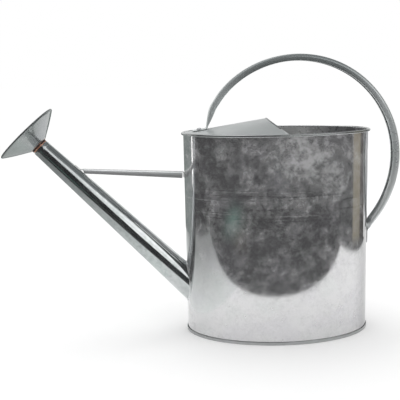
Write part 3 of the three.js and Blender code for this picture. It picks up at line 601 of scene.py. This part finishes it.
rows = []
NQ = 121
for i in range(NQ):
    ph = lerp(-math.pi / 2, math.pi / 2, i / (NQ - 1))
    q = math.sin(ph)
    th = math.pi - ph                                # the oval's parameter at this row's front end
    ex, ey = (float(v) for v in oval(np.array(th), -SHEET - GAP))
    nx, ny = math.cos(th) / A, math.sin(th) / B
    l = math.hypot(nx, ny); nx, ny = nx / l, ny / l
    y = q * (Bi - 1.25)
    x0, x1 = -(Ai - 1.25) * math.sqrt(max(0, 1 - q * q)), HOOD_PEAK[0] + (HOOD_SIDE_X - HOOD_PEAK[0]) * q * q
    up = SHEET / 2
    outer = [(ex, ey, 281.1), (ex, ey, 283.0), (ex, ey, 285.4), (ex, ey, 287.75)]
    inner = [(ex - nx * SHEET, ey - ny * SHEET, z) for z in (281.1, 283.0, 285.4, 287.75)]
    for a in (25, 50, 75):
        r = 1.15
        d = r - r * math.cos(rad(a))
        outer.append((ex - nx * d, ey - ny * d, HOOD_RIM_Z + up - r + r * math.sin(rad(a))))
        r2 = r - SHEET
        d = SHEET + r2 - r2 * math.cos(rad(a))
        inner.append((ex - nx * d, ey - ny * d, HOOD_RIM_Z + up - r + r2 * math.sin(rad(a))))
    hem = 5.0
    xs = [lerp(x0, x1 - hem - 0.6, k / 22) for k in range(23)] + [x1 - hem - 0.12, x1 - hem + 0.12] + [x1 - hem + 0.7, x1 - 3.3, x1 - 2.95, x1 - 2.6, x1 - 2.2, x1 - 1.5, x1 - 0.85]
    fold = {25 + 1: -0.10, 25 + 2: -0.22, 25 + 3: 0.10, 25 + 4: 0.32, 25 + 5: 0.40, 25 + 6: 0.36}
    for n_, x in enumerate(xs):
        s = hood_surf(x, y)
        outer.append((x, y, s + up + fold.get(n_, 0.0)))
        inner.append((x, y, s - up - (0.0 if n_ < 24 else 1.0)))
    s = hood_surf(x1, y)
    sl = slope * 0.85
    arc_o = [(x1 - 0.85 + 0.85 * math.sin(rad(a)), y, s - 0.5 + 1.15 * math.cos(rad(a))) for a in (30, 60)]
    arc_i = [(x1 - 0.85 + 0.85 * math.sin(rad(a)), y, s - 0.5 - 0.85 * math.cos(rad(a))) for a in (30, 60)]
    outer += arc_o; inner += arc_i
    tip_edge = (x1, y, s - 0.5)
    tip_low = (ex - nx * SHEET / 2, ey - ny * SHEET / 2, 280.85)
    rows.append(outer + [tip_edge] + inner[::-1] + [tip_low])
m_h = len(outer)
G = np.array(rows)
nu, nv = G.shape[:2]
hood = mesh_object("hood_sheet", to_row(G.reshape(-1, 3)), grid_faces(nu, nv, False, True) + cap_faces(0, m_h) + cap_faces((nu - 1) * nv, m_h), M["hood"], angle=44)
hood.data.materials.append(M["hem"])
for pl in hood.data.polygons:                       # the folded edge across the mouth, in the near-black hem material: painted shade
    c = pl.center
    q = max(-1.0, min(1.0, c.y * 1000 / (Bi - 1.25)))
    if (c.x - DX) * 1000 > HOOD_PEAK[0] + (HOOD_SIDE_X - HOOD_PEAK[0]) * q * q - 2.4 and abs(q) < 0.8:
        pl.material_index = 1
settle(hood, "can", "galvanised_hood", "hood")

# ------------------------------------------------------------------ spout tube
angles = sorted(set([round(i * 360 / 112 - 180, 4) for i in range(112)]) - set())
SEAM, HALF = -37.0, 5.2
angles = [a for a in angles if not (SEAM - HALF - 1.6 < a < SEAM + HALF + 1.6)]
seam_marks = [(SEAM - HALF - 1.5, 0.0), (SEAM - HALF - 0.5, 0.02), (SEAM - HALF, 0.30), (SEAM - HALF + 0.5, 0.48), (SEAM - 2.2, 0.52), (SEAM, 0.50), (SEAM + 2.2, 0.52),
              (SEAM + HALF - 0.5, 0.48), (SEAM + HALF, 0.30), (SEAM + HALF + 0.5, 0.02), (SEAM + HALF + 1.5, 0.0)]
table = sorted([(a, 0.0) for a in angles] + seam_marks)
n_a, n_s = len(table), 64


def wall_distance(phi, off_r, off_wall, s_from=225.0, s_to=345.0):
    """Where the tube's line at this angle meets the wall moved outwards by off_wall."""
    def f(s):
        r = spout_radius(s) + off_r
        p = spout_place(np.array([r * math.cos(phi), r * math.sin(phi), -s]))
        return (p[0] / (A + off_wall)) ** 2 + (p[1] / (B + off_wall)) ** 2 - 1
    a, b = s_from, s_to
    for _ in range(40):
        c = (a + b) / 2
        if f(c) > 0:
            a = c
        else:
            b = c
    return (a + b) / 2


outer, inner = [], []
for deg, lift in table:
    phi = rad(deg)
    e_o, e_i = wall_distance(phi, 0.0, -SHEET - 2.6), wall_distance(phi, -SPOUT_T, -SHEET - 2.6)
    ro, rw = [], []
    ss = [0.0, 0.25, 0.8, 2.0, 3.4, 5.0, 5.6, 6.4] + [lerp(6.4, e_o, k / n_s) for k in range(1, n_s + 1)]
    for s in ss:
        f = min(1.0, max(0.0, (s - 5.0) / 1.4)) * min(1.0, max(0.0, (SPOUT_LEN - 27 - s) / 1.5))
        edge = 0.25 if s == 0.0 else 0.06 if s == 0.25 else 0.0
        # the mouth end is drawn in a little, behind a shallow shoulder
        r = spout_radius(s) - edge + lift * f + 0.16 * math.exp(-((s - 3.4) / 1.3) ** 2) - 0.10 * math.exp(-((s - 6.6) / 1.0) ** 2)
        dent = 0.10 * noise.noise(Vector((math.cos(phi) * 1.3, math.sin(phi) * 1.3, s * 0.016)) + Vector((0.4, 9.1, 3.0))) * min(1, s / 30) * min(1, max(0, (250 - s) / 30))
        ro.append((r + dent) * np.array([math.cos(phi), math.sin(phi), 0]) + np.array([0, 0, -s]))
    for s in [0.0, 0.25, 0.8, 2.0, 3.4, 5.0, 5.6, 6.4] + [lerp(6.4, e_i, k / n_s) for k in range(1, n_s + 1)]:
        edge = -0.25 if s == 0.0 else -0.06 if s == 0.25 else 0.0
        r = spout_radius(s) - SPOUT_T - edge
        rw.append(r * np.array([math.cos(phi), math.sin(phi), 0]) + np.array([0, 0, -s]))
    outer.append(ro + rw[::-1])
G = spout_place(np.array(outer))
spout = mesh_object("spout_tube_seamed", to_row(G.reshape(-1, 3)), grid_faces(*G.shape[:2], True, True), M["spout"], angle=48)
settle(spout, "can", "galvanised_spout", "spout_tube")

# the zinc fillet where the spout meets the wall
rows = []
n_f = 112
foot = []
for i in range(n_f):
    phi = 2 * math.pi * i / n_f
    s = wall_distance(phi, 0.0, 0.0)
    r = spout_radius(s)
    p = spout_place(np.array([r * math.cos(phi), r * math.sin(phi), -s]))
    n_t = spout_place(np.array([(r + 1) * math.cos(phi), (r + 1) * math.sin(phi), -s])) - p
    foot.append((phi, s, p, n_t))
for i, (phi, s, p, n_t) in enumerate(foot):
    tang = foot[(i + 1) % n_f][2] - foot[i - 1][2]
    tang = tang / np.linalg.norm(tang)
    n_w = np.array([p[0] / A**2, p[1] / B**2, 0.0]); n_w /= np.linalg.norm(n_w)
    along = spout_place(np.array([0, 0, 1.0])) - spout_place(np.array([0, 0, 0.0]))
    out_w = np.cross(n_w, tang); out_w /= np.linalg.norm(out_w)
    if np.dot(out_w, n_t) < 0:
        out_w = -out_w
    h = 1.7 + 0.35 * noise.noise(Vector((math.cos(phi) * 2, math.sin(phi) * 2, 1.5)))
    w = 1.8 + 0.35 * noise.noise(Vector((math.cos(phi) * 2, math.sin(phi) * 2, 5.5)))
    a_, b_ = p + along * h + n_t * 0.05, p + out_w * w + n_w * 0.05
    ring = [p - along * 0.2 - n_t * 0.4, a_ - n_t * 0.35, a_]
    for t in (0.2, 0.4, 0.6, 0.8):
        c = p + n_t * 0.30 + n_w * 0.30
        ring.append((1 - t) ** 2 * a_ + 2 * t * (1 - t) * c + t * t * b_)
    ring += [b_, b_ - n_w * 0.35]
    rows.append(ring)
G = np.array(rows)
fil = mesh_object("spout_root_fillet", to_row(G.reshape(-1, 3)), grid_faces(*G.shape[:2], True, True), M["solder"], angle=60)
settle(fil, "can", "galvanised_spout")

# ------------------------------------------------------------------ brace between spout and body
T = 0.8
wx = -A - GAP
top = lambda x: 234.4 + 0.0521 * (-136.6 - x)
tab = dict(flat=5.2, r=1.0, turn=8.0, lip=0.2)
stn = [((wx, 226.0), dict(crown=0.25, **tab), 2), ((wx, 229.2), dict(crown=0.25, **tab), 3), ((wx, 232.2), dict(crown=0.25, **tab), 3),
       ((wx - 0.55, 233.7), dict(crown=0.1, **tab), 3), ((wx - 1.5, top(wx - 1.5)), dict(crown=0.0, **tab), 5)]
for i in range(9):
    k = i / 8
    x = lerp(wx - 2.6, -271.8, k)
    stn.append(((x, top(x)), dict(flat=1.0, r=lerp(7.5, 5.0, k), turn=90.0, lip=lerp(1.1, 0.8, k), crown=0.0), 5))
nd, dd = (math.sin(rad(43.2)), math.cos(rad(43.2))), (-math.cos(rad(43.2)), math.sin(rad(43.2)))


def on_spout(x):
    tx, tz = MOUTH[0] + MOUTH_R * math.sin(rad(SPOUT_TILT)), MOUTH[1] + MOUTH_R * math.cos(rad(SPOUT_TILT))
    s = (x - tx) / math.cos(rad(43.2))
    o = GAP + 0.1 + T
    return tx - dd[0] * s + nd[0] * o, tz - dd[1] * s + nd[1] * o


stn.append(((-275.2, top(-275.2)), dict(flat=3.2, r=2.4, turn=40.0, lip=0.3, crown=0.3), 4))
for x in (-279.9, -282.4, -286.5):
    stn.append((on_spout(x), dict(flat=4.0, r=1.0, turn=12.0, lip=0.2, crown=0.85), 3))


def spread(stn):
    path, u = smooth_path([s[0] for s in stn], [s[2] for s in stn[:-1]])
    at = np.arange(len(stn))
    par = {k: pchip(at, [s[1][k] for s in stn], u) for k in stn[0][1]}
    return path, [{k: float(par[k][i]) for k in par} for i in range(len(u))]


path, params = spread(stn)
brace = strip("spout_brace_rolled", path, params, T, M["brace"])
settle(brace, "can", "galvanised_brace", "spout_brace")

# ------------------------------------------------------------------ carrying hoop
T = HOOP_T


def sec_k(k, tab_half=11.6, crown=0.0):
    return dict(r=lerp(1.25, HOOP_D / 2, k), turn=lerp(8, 180, max(k, 0.0) ** 0.8), lip=lerp(0.2, 1.8, k),
                flat=lerp(tab_half, HOOP_W / 2 - HOOP_D / 2, min(1, k * 1.15)), crown=crown)


wx = A + GAP + T
stn = [((wx, 123.5), sec_k(0, 8.6, 0.95), 2), ((wx, 124.6), sec_k(0, 9.9, 1.1), 2), ((wx, 127.0), sec_k(0, 10.8, 1.25), 3), ((wx, 133.0), sec_k(0, 11, 1.25), 3), ((wx, 140.6), sec_k(0, 11, 1.25), 3), ((wx + 0.75, 143.5), sec_k(0.02, 11, 0.8), 4)]
k_at = [(-44.6, 0.12), (-42.6, 0.5), (-39.5, 0.68), (-33, 0.78), (-25, 0.88), (-16, 1.0), (-7, 1.0), (130, 1.0), (138, 0.99), (144.5, 0.96)]
dr_at = [(-44.6, 0.0), (120, 0.0), (130, -0.03), (138, -0.35), (144.5, -1.1)]
degs = [-44.6, -43.6, -42.6, -41.0, -39.5, -36.5, -33, -29, -25, -20.5, -16] + list(np.linspace(-12, 130, 58)) + [132.6, 135.3, 138, 141.2, 144.5]
ks = pchip([a for a, _ in k_at], [b for _, b in k_at], degs)
drs = pchip([a for a, _ in dr_at], [b for _, b in dr_at], degs)
for d_, k, dr in zip(degs, ks, drs):
    stn.append(((HOOP_C[0] + (HOOP_R + dr) * math.cos(rad(d_)), HOOP_C[1] + (HOOP_R + dr) * math.sin(rad(d_))), sec_k(min(1.0, float(k))), 2))
for x, z, k in [(-92.4, 325.0, 0.9), (-94.7, 317.5, 0.76), (-96.2, 309.5, 0.57), (-97.2, 303.0, 0.36), (-97.7, 298.4, 0.15), (-98.0, 296.3, 0.03)]:
    stn.append(((x, z), sec_k(k), 4))
l = math.hypot(1, slope)
upv = (-slope / l, 1 / l)


def on_ridge(x):
    o = SHEET / 2 + GAP + T
    return x + upv[0] * o, ridge_z(x) + upv[1] * o


stn.append(((-99.0, on_ridge(-99)[1] + 0.45), sec_k(0, 11, 0.15), 4))
for x, w in [(-100.8, 11), (-104.5, 11), (-108.5, 11), (-113.5, 10.4), (-116.4, 9.2), (-117.5, 7.6)]:
    stn.append((on_ridge(x), sec_k(0, w, 0.25), 3))
path, params = spread(stn)
hoop = strip("handle_hoop_rolled", path, params, T, M["hoop"])
settle(hoop, "can", "galvanised_hoop", "handle_hoop")

# ------------------------------------------------------------------ rivets
for name, at, out, above, below in [
    ("rear_rivet_upper", (A, 0, 137.5), (1, 0, 0), GAP + HOOP_T, SHEET + 0.2),
    ("rear_rivet_lower", (A, 0, 128.5), (1, 0, 0), GAP + HOOP_T, SHEET + 0.2),
    ("front_rivet_left", (-108.5, -6.5, ridge_z(-108.5) + SHEET / 2), (-slope, 0, 1), GAP + HOOP_T, SHEET + 0.35),
    ("front_rivet_right", (-108.5, 6.5, ridge_z(-108.5) + SHEET / 2), (-slope, 0, 1), GAP + HOOP_T, SHEET + 0.35),
]:
    ez = np.array(out, float); ez /= np.linalg.norm(ez)
    ey = np.array([0, 1.0, 0])
    ex = np.cross(ey, ez)
    at = np.array(at, float)
    put = lambda P, at=at, ex=ex, ey=ey, ez=ez: at + P[..., 0:1] * ex + P[..., 1:2] * ey + P[..., 2:3] * ez
    t0, b0 = above + GAP * 0.4, -(below + GAP)
    prof = [(0.0, t0 + 1.5)] + [(3.4 * math.sin(rad(a)), t0 + 0.12 + 1.38 * math.cos(rad(a))) for a in (14, 28, 42, 56, 70, 82)] + [(3.4, t0 + 0.08), (3.3, t0), (1.6, t0), (1.6, b0), (3.0, b0), (3.1, b0 - 0.12)]
    prof += [(3.1 * math.sin(rad(a)), b0 - 0.15 - 0.85 * math.cos(rad(a))) for a in (80, 60, 40, 20)] + [(0.0, b0 - 1.0)]
    G = turned(prof, 36, put)
    rv = mesh_object(name + "_head", to_row(G.reshape(-1, 3)), grid_faces(*G.shape[:2], True, False), M["rivet"], angle=50)
    settle(rv, "can", "zinc_rivet", name)

# ------------------------------------------------------------------ rose
NR = 128
prof = [(10.0, -11.9), (10.1, -12.0), (10.6, -12.0), (10.7, -11.9), (10.7, -6.0), (10.7, 0.6), (11.7, 0.6)]
prof += [(11.9 + 0.5 * math.cos(rad(a)), 1.12 + 0.5 * math.sin(rad(a))) for a in (-80, -45, -10, 25, 60, 85)]
prof += [(10.9, 1.7), (10.7, 1.8), (10.7, 8.3), (10.6, 8.5), (10.1, 8.5), (10.0, 8.4), (10.0, -2.0)]
G = turned(prof, 96, rose_place)
fer = mesh_object("rose_ferrule_spun", to_row(G.reshape(-1, 3)), grid_faces(*G.shape[:2], True, True), M["copper"], angle=46)
settle(fer, "rose", "copper_alloy", "rose_ferrule")

prof = [(11.0, 2.2), (11.0, 2.05), (11.6, 2.0)] + [(11.55 + 0.75 * math.cos(rad(a)), 2.85 + 0.82 * math.sin(rad(a))) for a in (-70, -45, -20, 0, 20, 45, 70)] + [(11.6, 3.7), (11.0, 3.65), (11.0, 3.5)]
G = turned(prof, 96, rose_place)
ring = mesh_object("rose_seal_ring", to_row(G.reshape(-1, 3)), grid_faces(*G.shape[:2], True, True), M["rubber"], angle=60)
settle(ring, "seal_ring", "black_rubber", "rose_seal")


def flare(k):
    return lerp(14.2, 48.0, k) + 0.9 * math.sin(math.pi * k ** 1.3), lerp(4.8, 25.7, k)


outp, inp = [], []
for i in range(25):
    r, w = flare(i / 24)
    outp.append((r, w - 0.33)); inp.append((r - 0.33, w + 0.33))
rim_c, rim_w = ROSE_R - 1.15, 27.25
prof = [(11.05, 4.0), (12.4, 4.0), (13.3, 4.05), (13.8, 4.2)] + outp
prof += [(ROSE_R - 0.5, 26.0)] + [(rim_c + 1.15 * math.cos(rad(a)), rim_w + 1.15 * math.sin(rad(a))) for a in range(-30, 91, 12)]
prof += [(47.3, 28.4), (46.9, 28.38), (46.7, 28.2), (46.75, 27.95), (47.2, 27.86), (rim_c, 27.86)]
prof += [(rim_c + 0.55 * math.cos(rad(a)), rim_w + 0.55 * math.sin(rad(a))) for a in (60, 30, 0, -30)]
prof += [(ROSE_R - 1.0, 26.5)] + inp[::-1][1:] + [(13.3, 4.75), (12.6, 4.7), (11.85, 4.7), (11.7, 4.9), (11.7, 6.4), (11.55, 6.5), (11.15, 6.5), (11.0, 6.4), (11.0, 4.2)]
G = turned(prof, NR, rose_place)
cone = mesh_object("rose_cone_spun", to_row(G.reshape(-1, 3)), grid_faces(*G.shape[:2], True, True), M["rose"], angle=50)
cone.data.materials.append(M["copper"])
cone.data.materials.append(M["bead"])
c0, c1 = (Vector(to_row(rose_place(np.array([0, 0, w])))) for w in (0.0, 4.14))
ax_ = (c1 - c0).normalized()
for pl in cone.data.polygons:                        # the brazed collar
    v_ = pl.center - c0
    h_ = v_.dot(ax_)
    if h_ < 0.00414 and (v_ - ax_ * h_).length < 0.0142:
        pl.material_index = 1
    elif h_ > 0.0262:                                # the rolled bead round the face, painted near black as shade
        pl.material_index = 2
settle(cone, "rose", "galvanised_rose", "rose_cone")

# the face: a shallow dome with rings of round spray holes
R_F, R_H, NH = 47.0, 1.0, 16
pts, edges = [], []


def loop(cx, cy, r, n, ph=0.0):
    base = len(pts)
    for i in range(n):
        a = 2 * math.pi * (i + ph) / n
        pts.append(Vector((cx + r * math.cos(a), cy + r * math.sin(a))))
        edges.append((base + i, base + (i + 1) % n))


loop(0, 0, R_F, 144)
centres = []
for n, r, ph in ((1, 0, 0), (6, 11.5, 0), (12, 23, 0.5), (18, 34.5, 0)):
    for i in range(n):
        c = (i + ph) / n * 2 * math.pi
        centres.append((r * math.cos(c), r * math.sin(c)))
for cx, cy in centres:
    loop(cx, cy, R_H, NH)
for r in (2.6, 5.5, 8.4, 14.4, 17.2, 20, 26, 28.8, 31.6, 37.6, 40.6, 42.8, 44.6, 46.0):
    n = max(14, int(2 * math.pi * r / 2.6))
    for i in range(n):
        a = 2 * math.pi * (i + 0.25) / n
        x, y = r * math.cos(a), r * math.sin(a)
        if all(math.hypot(x - cx, y - cy) > R_H + 0.5 for cx, cy in centres):
            pts.append(Vector((x, y)))
for cx, cy in centres:
    for i in range(12):
        a = 2 * math.pi * i / 12
        pts.append(Vector((cx + 1.75 * math.cos(a), cy + 1.75 * math.sin(a))))
v2, _, tri, _, _, _ = delaunay_2d_cdt(pts, edges, [], 0, 1e-5)
tri = [t for t in tri if all(math.hypot(sum(v2[i].x for i in t) / len(t) - cx, sum(v2[i].y for i in t) / len(t) - cy) > R_H * 0.9 for cx, cy in centres)]


def face_z(r, d):
    burr = 0.12 * max(0.0, 1 - (d - R_H) / 0.75) if d < R_H + 0.75 else 0.0
    return 27.0 + 1.9 * (1 - min(1.0, r / 45.0) ** 2) + burr


def near(x, y):
    return min(math.hypot(x - cx, y - cy) for cx, cy in centres)


top_v = [(p.x, p.y, face_z(math.hypot(p.x, p.y), near(p.x, p.y)) + 0.25) for p in v2]
bot_v = [(p.x, p.y, face_z(math.hypot(p.x, p.y), near(p.x, p.y)) - 0.25) for p in v2]
nv = len(v2)
faces = [tuple(t) for t in tri] + [tuple(nv + i for i in reversed(t)) for t in tri]
count = {}
for t in tri:
    for a, b in zip(t, t[1:] + t[:1]):
        count[(a, b)] = count.get((a, b), 0) + 1
for (a, b) in list(count):
    if (b, a) not in count:
        faces.append((b, a, nv + a, nv + b))
P = rose_place(np.array(top_v + bot_v))
face = mesh_object("rose_face_punched", to_row(P), faces, M["face"], angle=50)
settle(face, "rose", "galvanised_rose_face", "rose_face")


# ------------------------------------------------------------------ studio: floor, soft light, and what the metal mirrors
def emit(name, colour, strength=1.0, vary=0.0, scale=2.0, glows=(), ramp=None):
    m = bpy.data.materials.new(name)
    m.use_nodes = True
    t = m.node_tree
    t.nodes.clear()
    out, e = t.nodes.new("ShaderNodeOutputMaterial"), t.nodes.new("ShaderNodeEmission")
    t.links.new(e.outputs[0], out.inputs[0])
    e.inputs[0].default_value = (*colour, 1)
    e.inputs[1].default_value = strength
    if vary:
        tc, n, r = t.nodes.new("ShaderNodeTexCoord"), t.nodes.new("ShaderNodeTexNoise"), t.nodes.new("ShaderNodeMapRange")
        t.links.new(tc.outputs["Object"], n.inputs["Vector"])
        n.inputs["Scale"].default_value, n.inputs["Detail"].default_value = scale, 1.5
        t.links.new(n.outputs["Fac"], r.inputs["Value"])
        r.inputs["From Min"].default_value, r.inputs["From Max"].default_value = 0.3, 0.7
        r.inputs["To Min"].default_value, r.inputs["To Max"].default_value = strength * (1 - vary), strength * (1 + vary)
        t.links.new(r.outputs[0], e.inputs[1])
    if ramp is not None:                              # brightness by place along X
        tc, sx_, r = t.nodes.new("ShaderNodeTexCoord"), t.nodes.new("ShaderNodeSeparateXYZ"), t.nodes.new("ShaderNodeMapRange")
        t.links.new(tc.outputs["Object"], sx_.inputs[0])
        t.links.new(sx_.outputs[0], r.inputs["Value"])
        for key_, val in zip(("From Min", "From Max", "To Min", "To Max"), ramp):
            r.inputs[key_].default_value = val
        t.links.new(r.outputs[0], e.inputs[1])
    last = e.outputs[0]
    for at_, size_, tint, power in glows:             # soft patches of light
        tc, mp, gr = t.nodes.new("ShaderNodeTexCoord"), t.nodes.new("ShaderNodeMapping"), t.nodes.new("ShaderNodeTexGradient")
        mp.vector_type = "TEXTURE"
        mp.inputs["Location"].default_value, mp.inputs["Scale"].default_value = at_, size_
        gr.gradient_type = "QUADRATIC_SPHERE"
        e2, ad, mu = t.nodes.new("ShaderNodeEmission"), t.nodes.new("ShaderNodeAddShader"), t.nodes.new("ShaderNodeMath")
        t.links.new(tc.outputs["Object"], mp.inputs["Vector"])
        t.links.new(mp.outputs[0], gr.inputs["Vector"])
        mu.operation = "MULTIPLY"
        mu.inputs[1].default_value = power
        t.links.new(gr.outputs["Fac"], mu.inputs[0])
        t.links.new(mu.outputs[0], e2.inputs[1])
        e2.inputs[0].default_value = (*tint, 1)
        t.links.new(last, ad.inputs[0]); t.links.new(e2.outputs[0], ad.inputs[1])
        t.links.new(ad.outputs[0], out.inputs[0])
        last = ad.outputs[0]
    return m


def plain(name, verts, faces, mat, mirrored_only=True):
    me = bpy.data.meshes.new(name)
    me.from_pydata(verts, [], faces)
    me.materials.append(mat)
    ob = bpy.data.objects.new(name, me)
    scene.collection.objects.link(ob)
    if mirrored_only:
        ob.visible_camera = ob.visible_diffuse = ob.visible_shadow = ob.visible_transmission = ob.visible_volume_scatter = False
    return ob


fm = Nodes("floor_white")
fm.put(fm.b.inputs["Base Color"], fm.mix(fm.noise(3.0, 2.0), (0.90, 0.90, 0.90), (0.92, 0.92, 0.92)))
fm.b.inputs["Roughness"].default_value = 0.9
fm.b.inputs["Specular IOR Level"].default_value = 0.0
fm.b.inputs["Emission Color"].default_value = (1, 1, 1, 1)
fm.b.inputs["Emission Strength"].default_value = 0.10
plain("floor", [(-30, -30, 0), (30, -30, 0), (30, 30, 0), (-30, 30, 0)], [(0, 1, 2, 3)], fm.m, mirrored_only=False)

# the white table ends here, in metres in the can's frame; past it the room is dark
T_LEFT, T_RIGHT, T_FRONT = DX - 0.78, DX + 0.60, -0.305
e_ = 0.0004
dark = emit("room_dark", (0.88, 0.88, 0.92), 0.042, 0.5, 1.6)
far_floor = emit("apron_dark", (0.88, 0.88, 0.92), 0.050, 0.5, 1.3, glows=[((DX - 0.60, -0.76, 0), (0.26, 0.36, 1), (0.20, 0.42, 0.34), 0.50), ((DX + 0.10, -1.7, 0), (0.5, 0.6, 1), (0.5, 0.5, 0.6), 0.12), ((DX - 0.40, -0.62, 0), (0.18, 0.16, 1), (0.5, 0.40, 0.25), 0.14)])
plain("apron_front", [(-9, -9, e_), (9, -9, e_), (9, T_FRONT, e_), (-9, T_FRONT, e_)], [(0, 1, 2, 3)], far_floor)
plain("apron_left", [(-9, T_FRONT, e_), (T_LEFT, T_FRONT, e_), (T_LEFT, 0.55, e_), (-9, 2.2, e_)], [(0, 1, 2, 3)], dark)
grey_l, grey_r = emit("room_grey", (0.88, 1.0, 0.96), 0.25), emit("room_grey_right", (0.95, 0.98, 1.0), 0.45)
plain("apron_left_back", [(-9, 2.2, e_), (T_LEFT, 0.55, e_), (T_LEFT, 1.6, e_), (-9, 9, e_)], [(0, 1, 2, 3)], grey_l)
plain("apron_right_back", [(T_RIGHT, 0.55, e_), (9, 2.2, e_), (9, 9, e_), (T_RIGHT, 1.6, e_)], [(0, 1, 2, 3)], grey_r)
plain("apron_right", [(T_RIGHT, T_FRONT, e_), (9, T_FRONT, e_), (9, 2.2, e_), (T_RIGHT, 0.55, e_)], [(0, 1, 2, 3)], dark)
# the table grows dimmer towards its left end
plain("table_left", [(T_LEFT, T_FRONT, e_), (DX - 0.22, T_FRONT, e_), (DX - 0.22, 0.9, e_), (T_LEFT, 0.9, e_)], [(0, 1, 2, 3)],
      emit("table_dim", (0.97, 1.0, 0.99), 1.0, ramp=(DX - 0.62, DX - 0.22, 0.34, 0.95)))


def screen(name, az0, az1, z0, z1, mat, r=2.6):
    """An upright curved card round the can. Azimuth 0 is towards the camera, 90 is +X."""
    n = max(2, int((az1 - az0) / 3))
    v = []
    for z in (z0, z1):
        for i in range(n + 1):
            a = rad(lerp(az0, az1, i / n))
            v.append((DX + r * math.sin(a), -r * math.cos(a), z))
    return plain(name, v, [(i, i + 1, n + 2 + i, n + 1 + i) for i in range(n)], mat)


screen("room_front", -104, 80, 0, 2.6, dark)
screen("room_window", 12, 70, 0.70, 2.50, emit("window", (1.0, 1.0, 1.0), 1.35, 0.2, 0.9), r=2.5)
screen("room_left_dark", -132, -104, 0, 0.6, dark)
screen("room_left_light", -105.5, -102.3, 0, 0.9, emit("strip_light", (1.0, 1.0, 0.98), 2.2), r=0.72)
screen("room_left_grey", -173, -107.5, 0, 0.32, grey_l, r=0.76)
# things standing close by, at the table's right end
screen("room_near_dark", 66, 81.5, 0, 0.8, dark, r=0.70)
screen("room_beige", 82.5, 99.5, 0, 0.8, emit("room_beige", (1.0, 0.90, 0.70), 0.30), r=0.70)
screen("room_brown", 99.5, 115, 0, 0.8, emit("room_brown", (1.0, 0.90, 0.85), 0.10), r=0.70)
screen("room_right_light", 115, 124, 0, 0.9, emit("strip_light_right", (1.0, 1.0, 1.0), 1.2), r=0.70)
screen("room_right_far", 80, 126, 0, 1.6, emit("room_right_mid", (0.97, 0.98, 1.0), 0.35))
screen("room_right_grey", 126, 166, 0, 0.40, grey_r)
plain("ceiling", [(-4, -4, 2.62), (4, -4, 2.62), (4, 4, 2.62), (-4, 4, 2.62)], [(3, 2, 1, 0)], emit("ceiling_grey", (0.95, 0.98, 1.0), 0.30, 0.2, 0.8))

world = bpy.data.worlds.new("studio")
scene.world = world
world.use_nodes = True
world.node_tree.nodes["Background"].inputs[0].default_value = (1, 1, 1, 1)
world.node_tree.nodes["Background"].inputs[1].default_value = 1.0

key = bpy.data.lights.new("key", "AREA")
key.shape, key.size, key.size_y, key.energy = "RECTANGLE", 1.3, 0.8, 4.5
kob = bpy.data.objects.new("key", key)
kob.location = (DX - 0.35, 0.35, 1.7)
kob.rotation_euler = (Vector((DX, 0, 0.15)) - kob.location).to_track_quat("-Z", "Y").to_euler()
scene.collection.objects.link(kob)

# ------------------------------------------------------------------ camera
yaw, pitch, roll, f_px = 0.03, 0.1697, -0.0239, 727.4621
fwd = Vector((math.sin(yaw) * math.cos(pitch), math.cos(yaw) * math.cos(pitch), -math.sin(pitch)))
rgt = Vector((math.cos(yaw), -math.sin(yaw), 0))
upv_ = rgt.cross(fwd)
cx_ = rgt * math.cos(roll) + upv_ * math.sin(roll)
cy_ = -rgt * math.sin(roll) + upv_ * math.cos(roll)
rot = Matrix((cx_, cy_, -fwd)).transposed()
cam = bpy.data.objects.new("camera", bpy.data.cameras.new("camera"))
cam.data.sensor_width, cam.data.lens = 36.0, f_px / 400 * 36
cam.data.clip_start, cam.data.clip_end = 0.05, 100
cam.matrix_world = Matrix.Translation((DX - 0.1406827, -1.0334145, 0.3688141)) @ rot.to_4x4()
scene.collection.objects.link(cam)
scene.camera = cam

scene.view_settings.view_transform = "Standard"
scene.view_settings.look = "None"
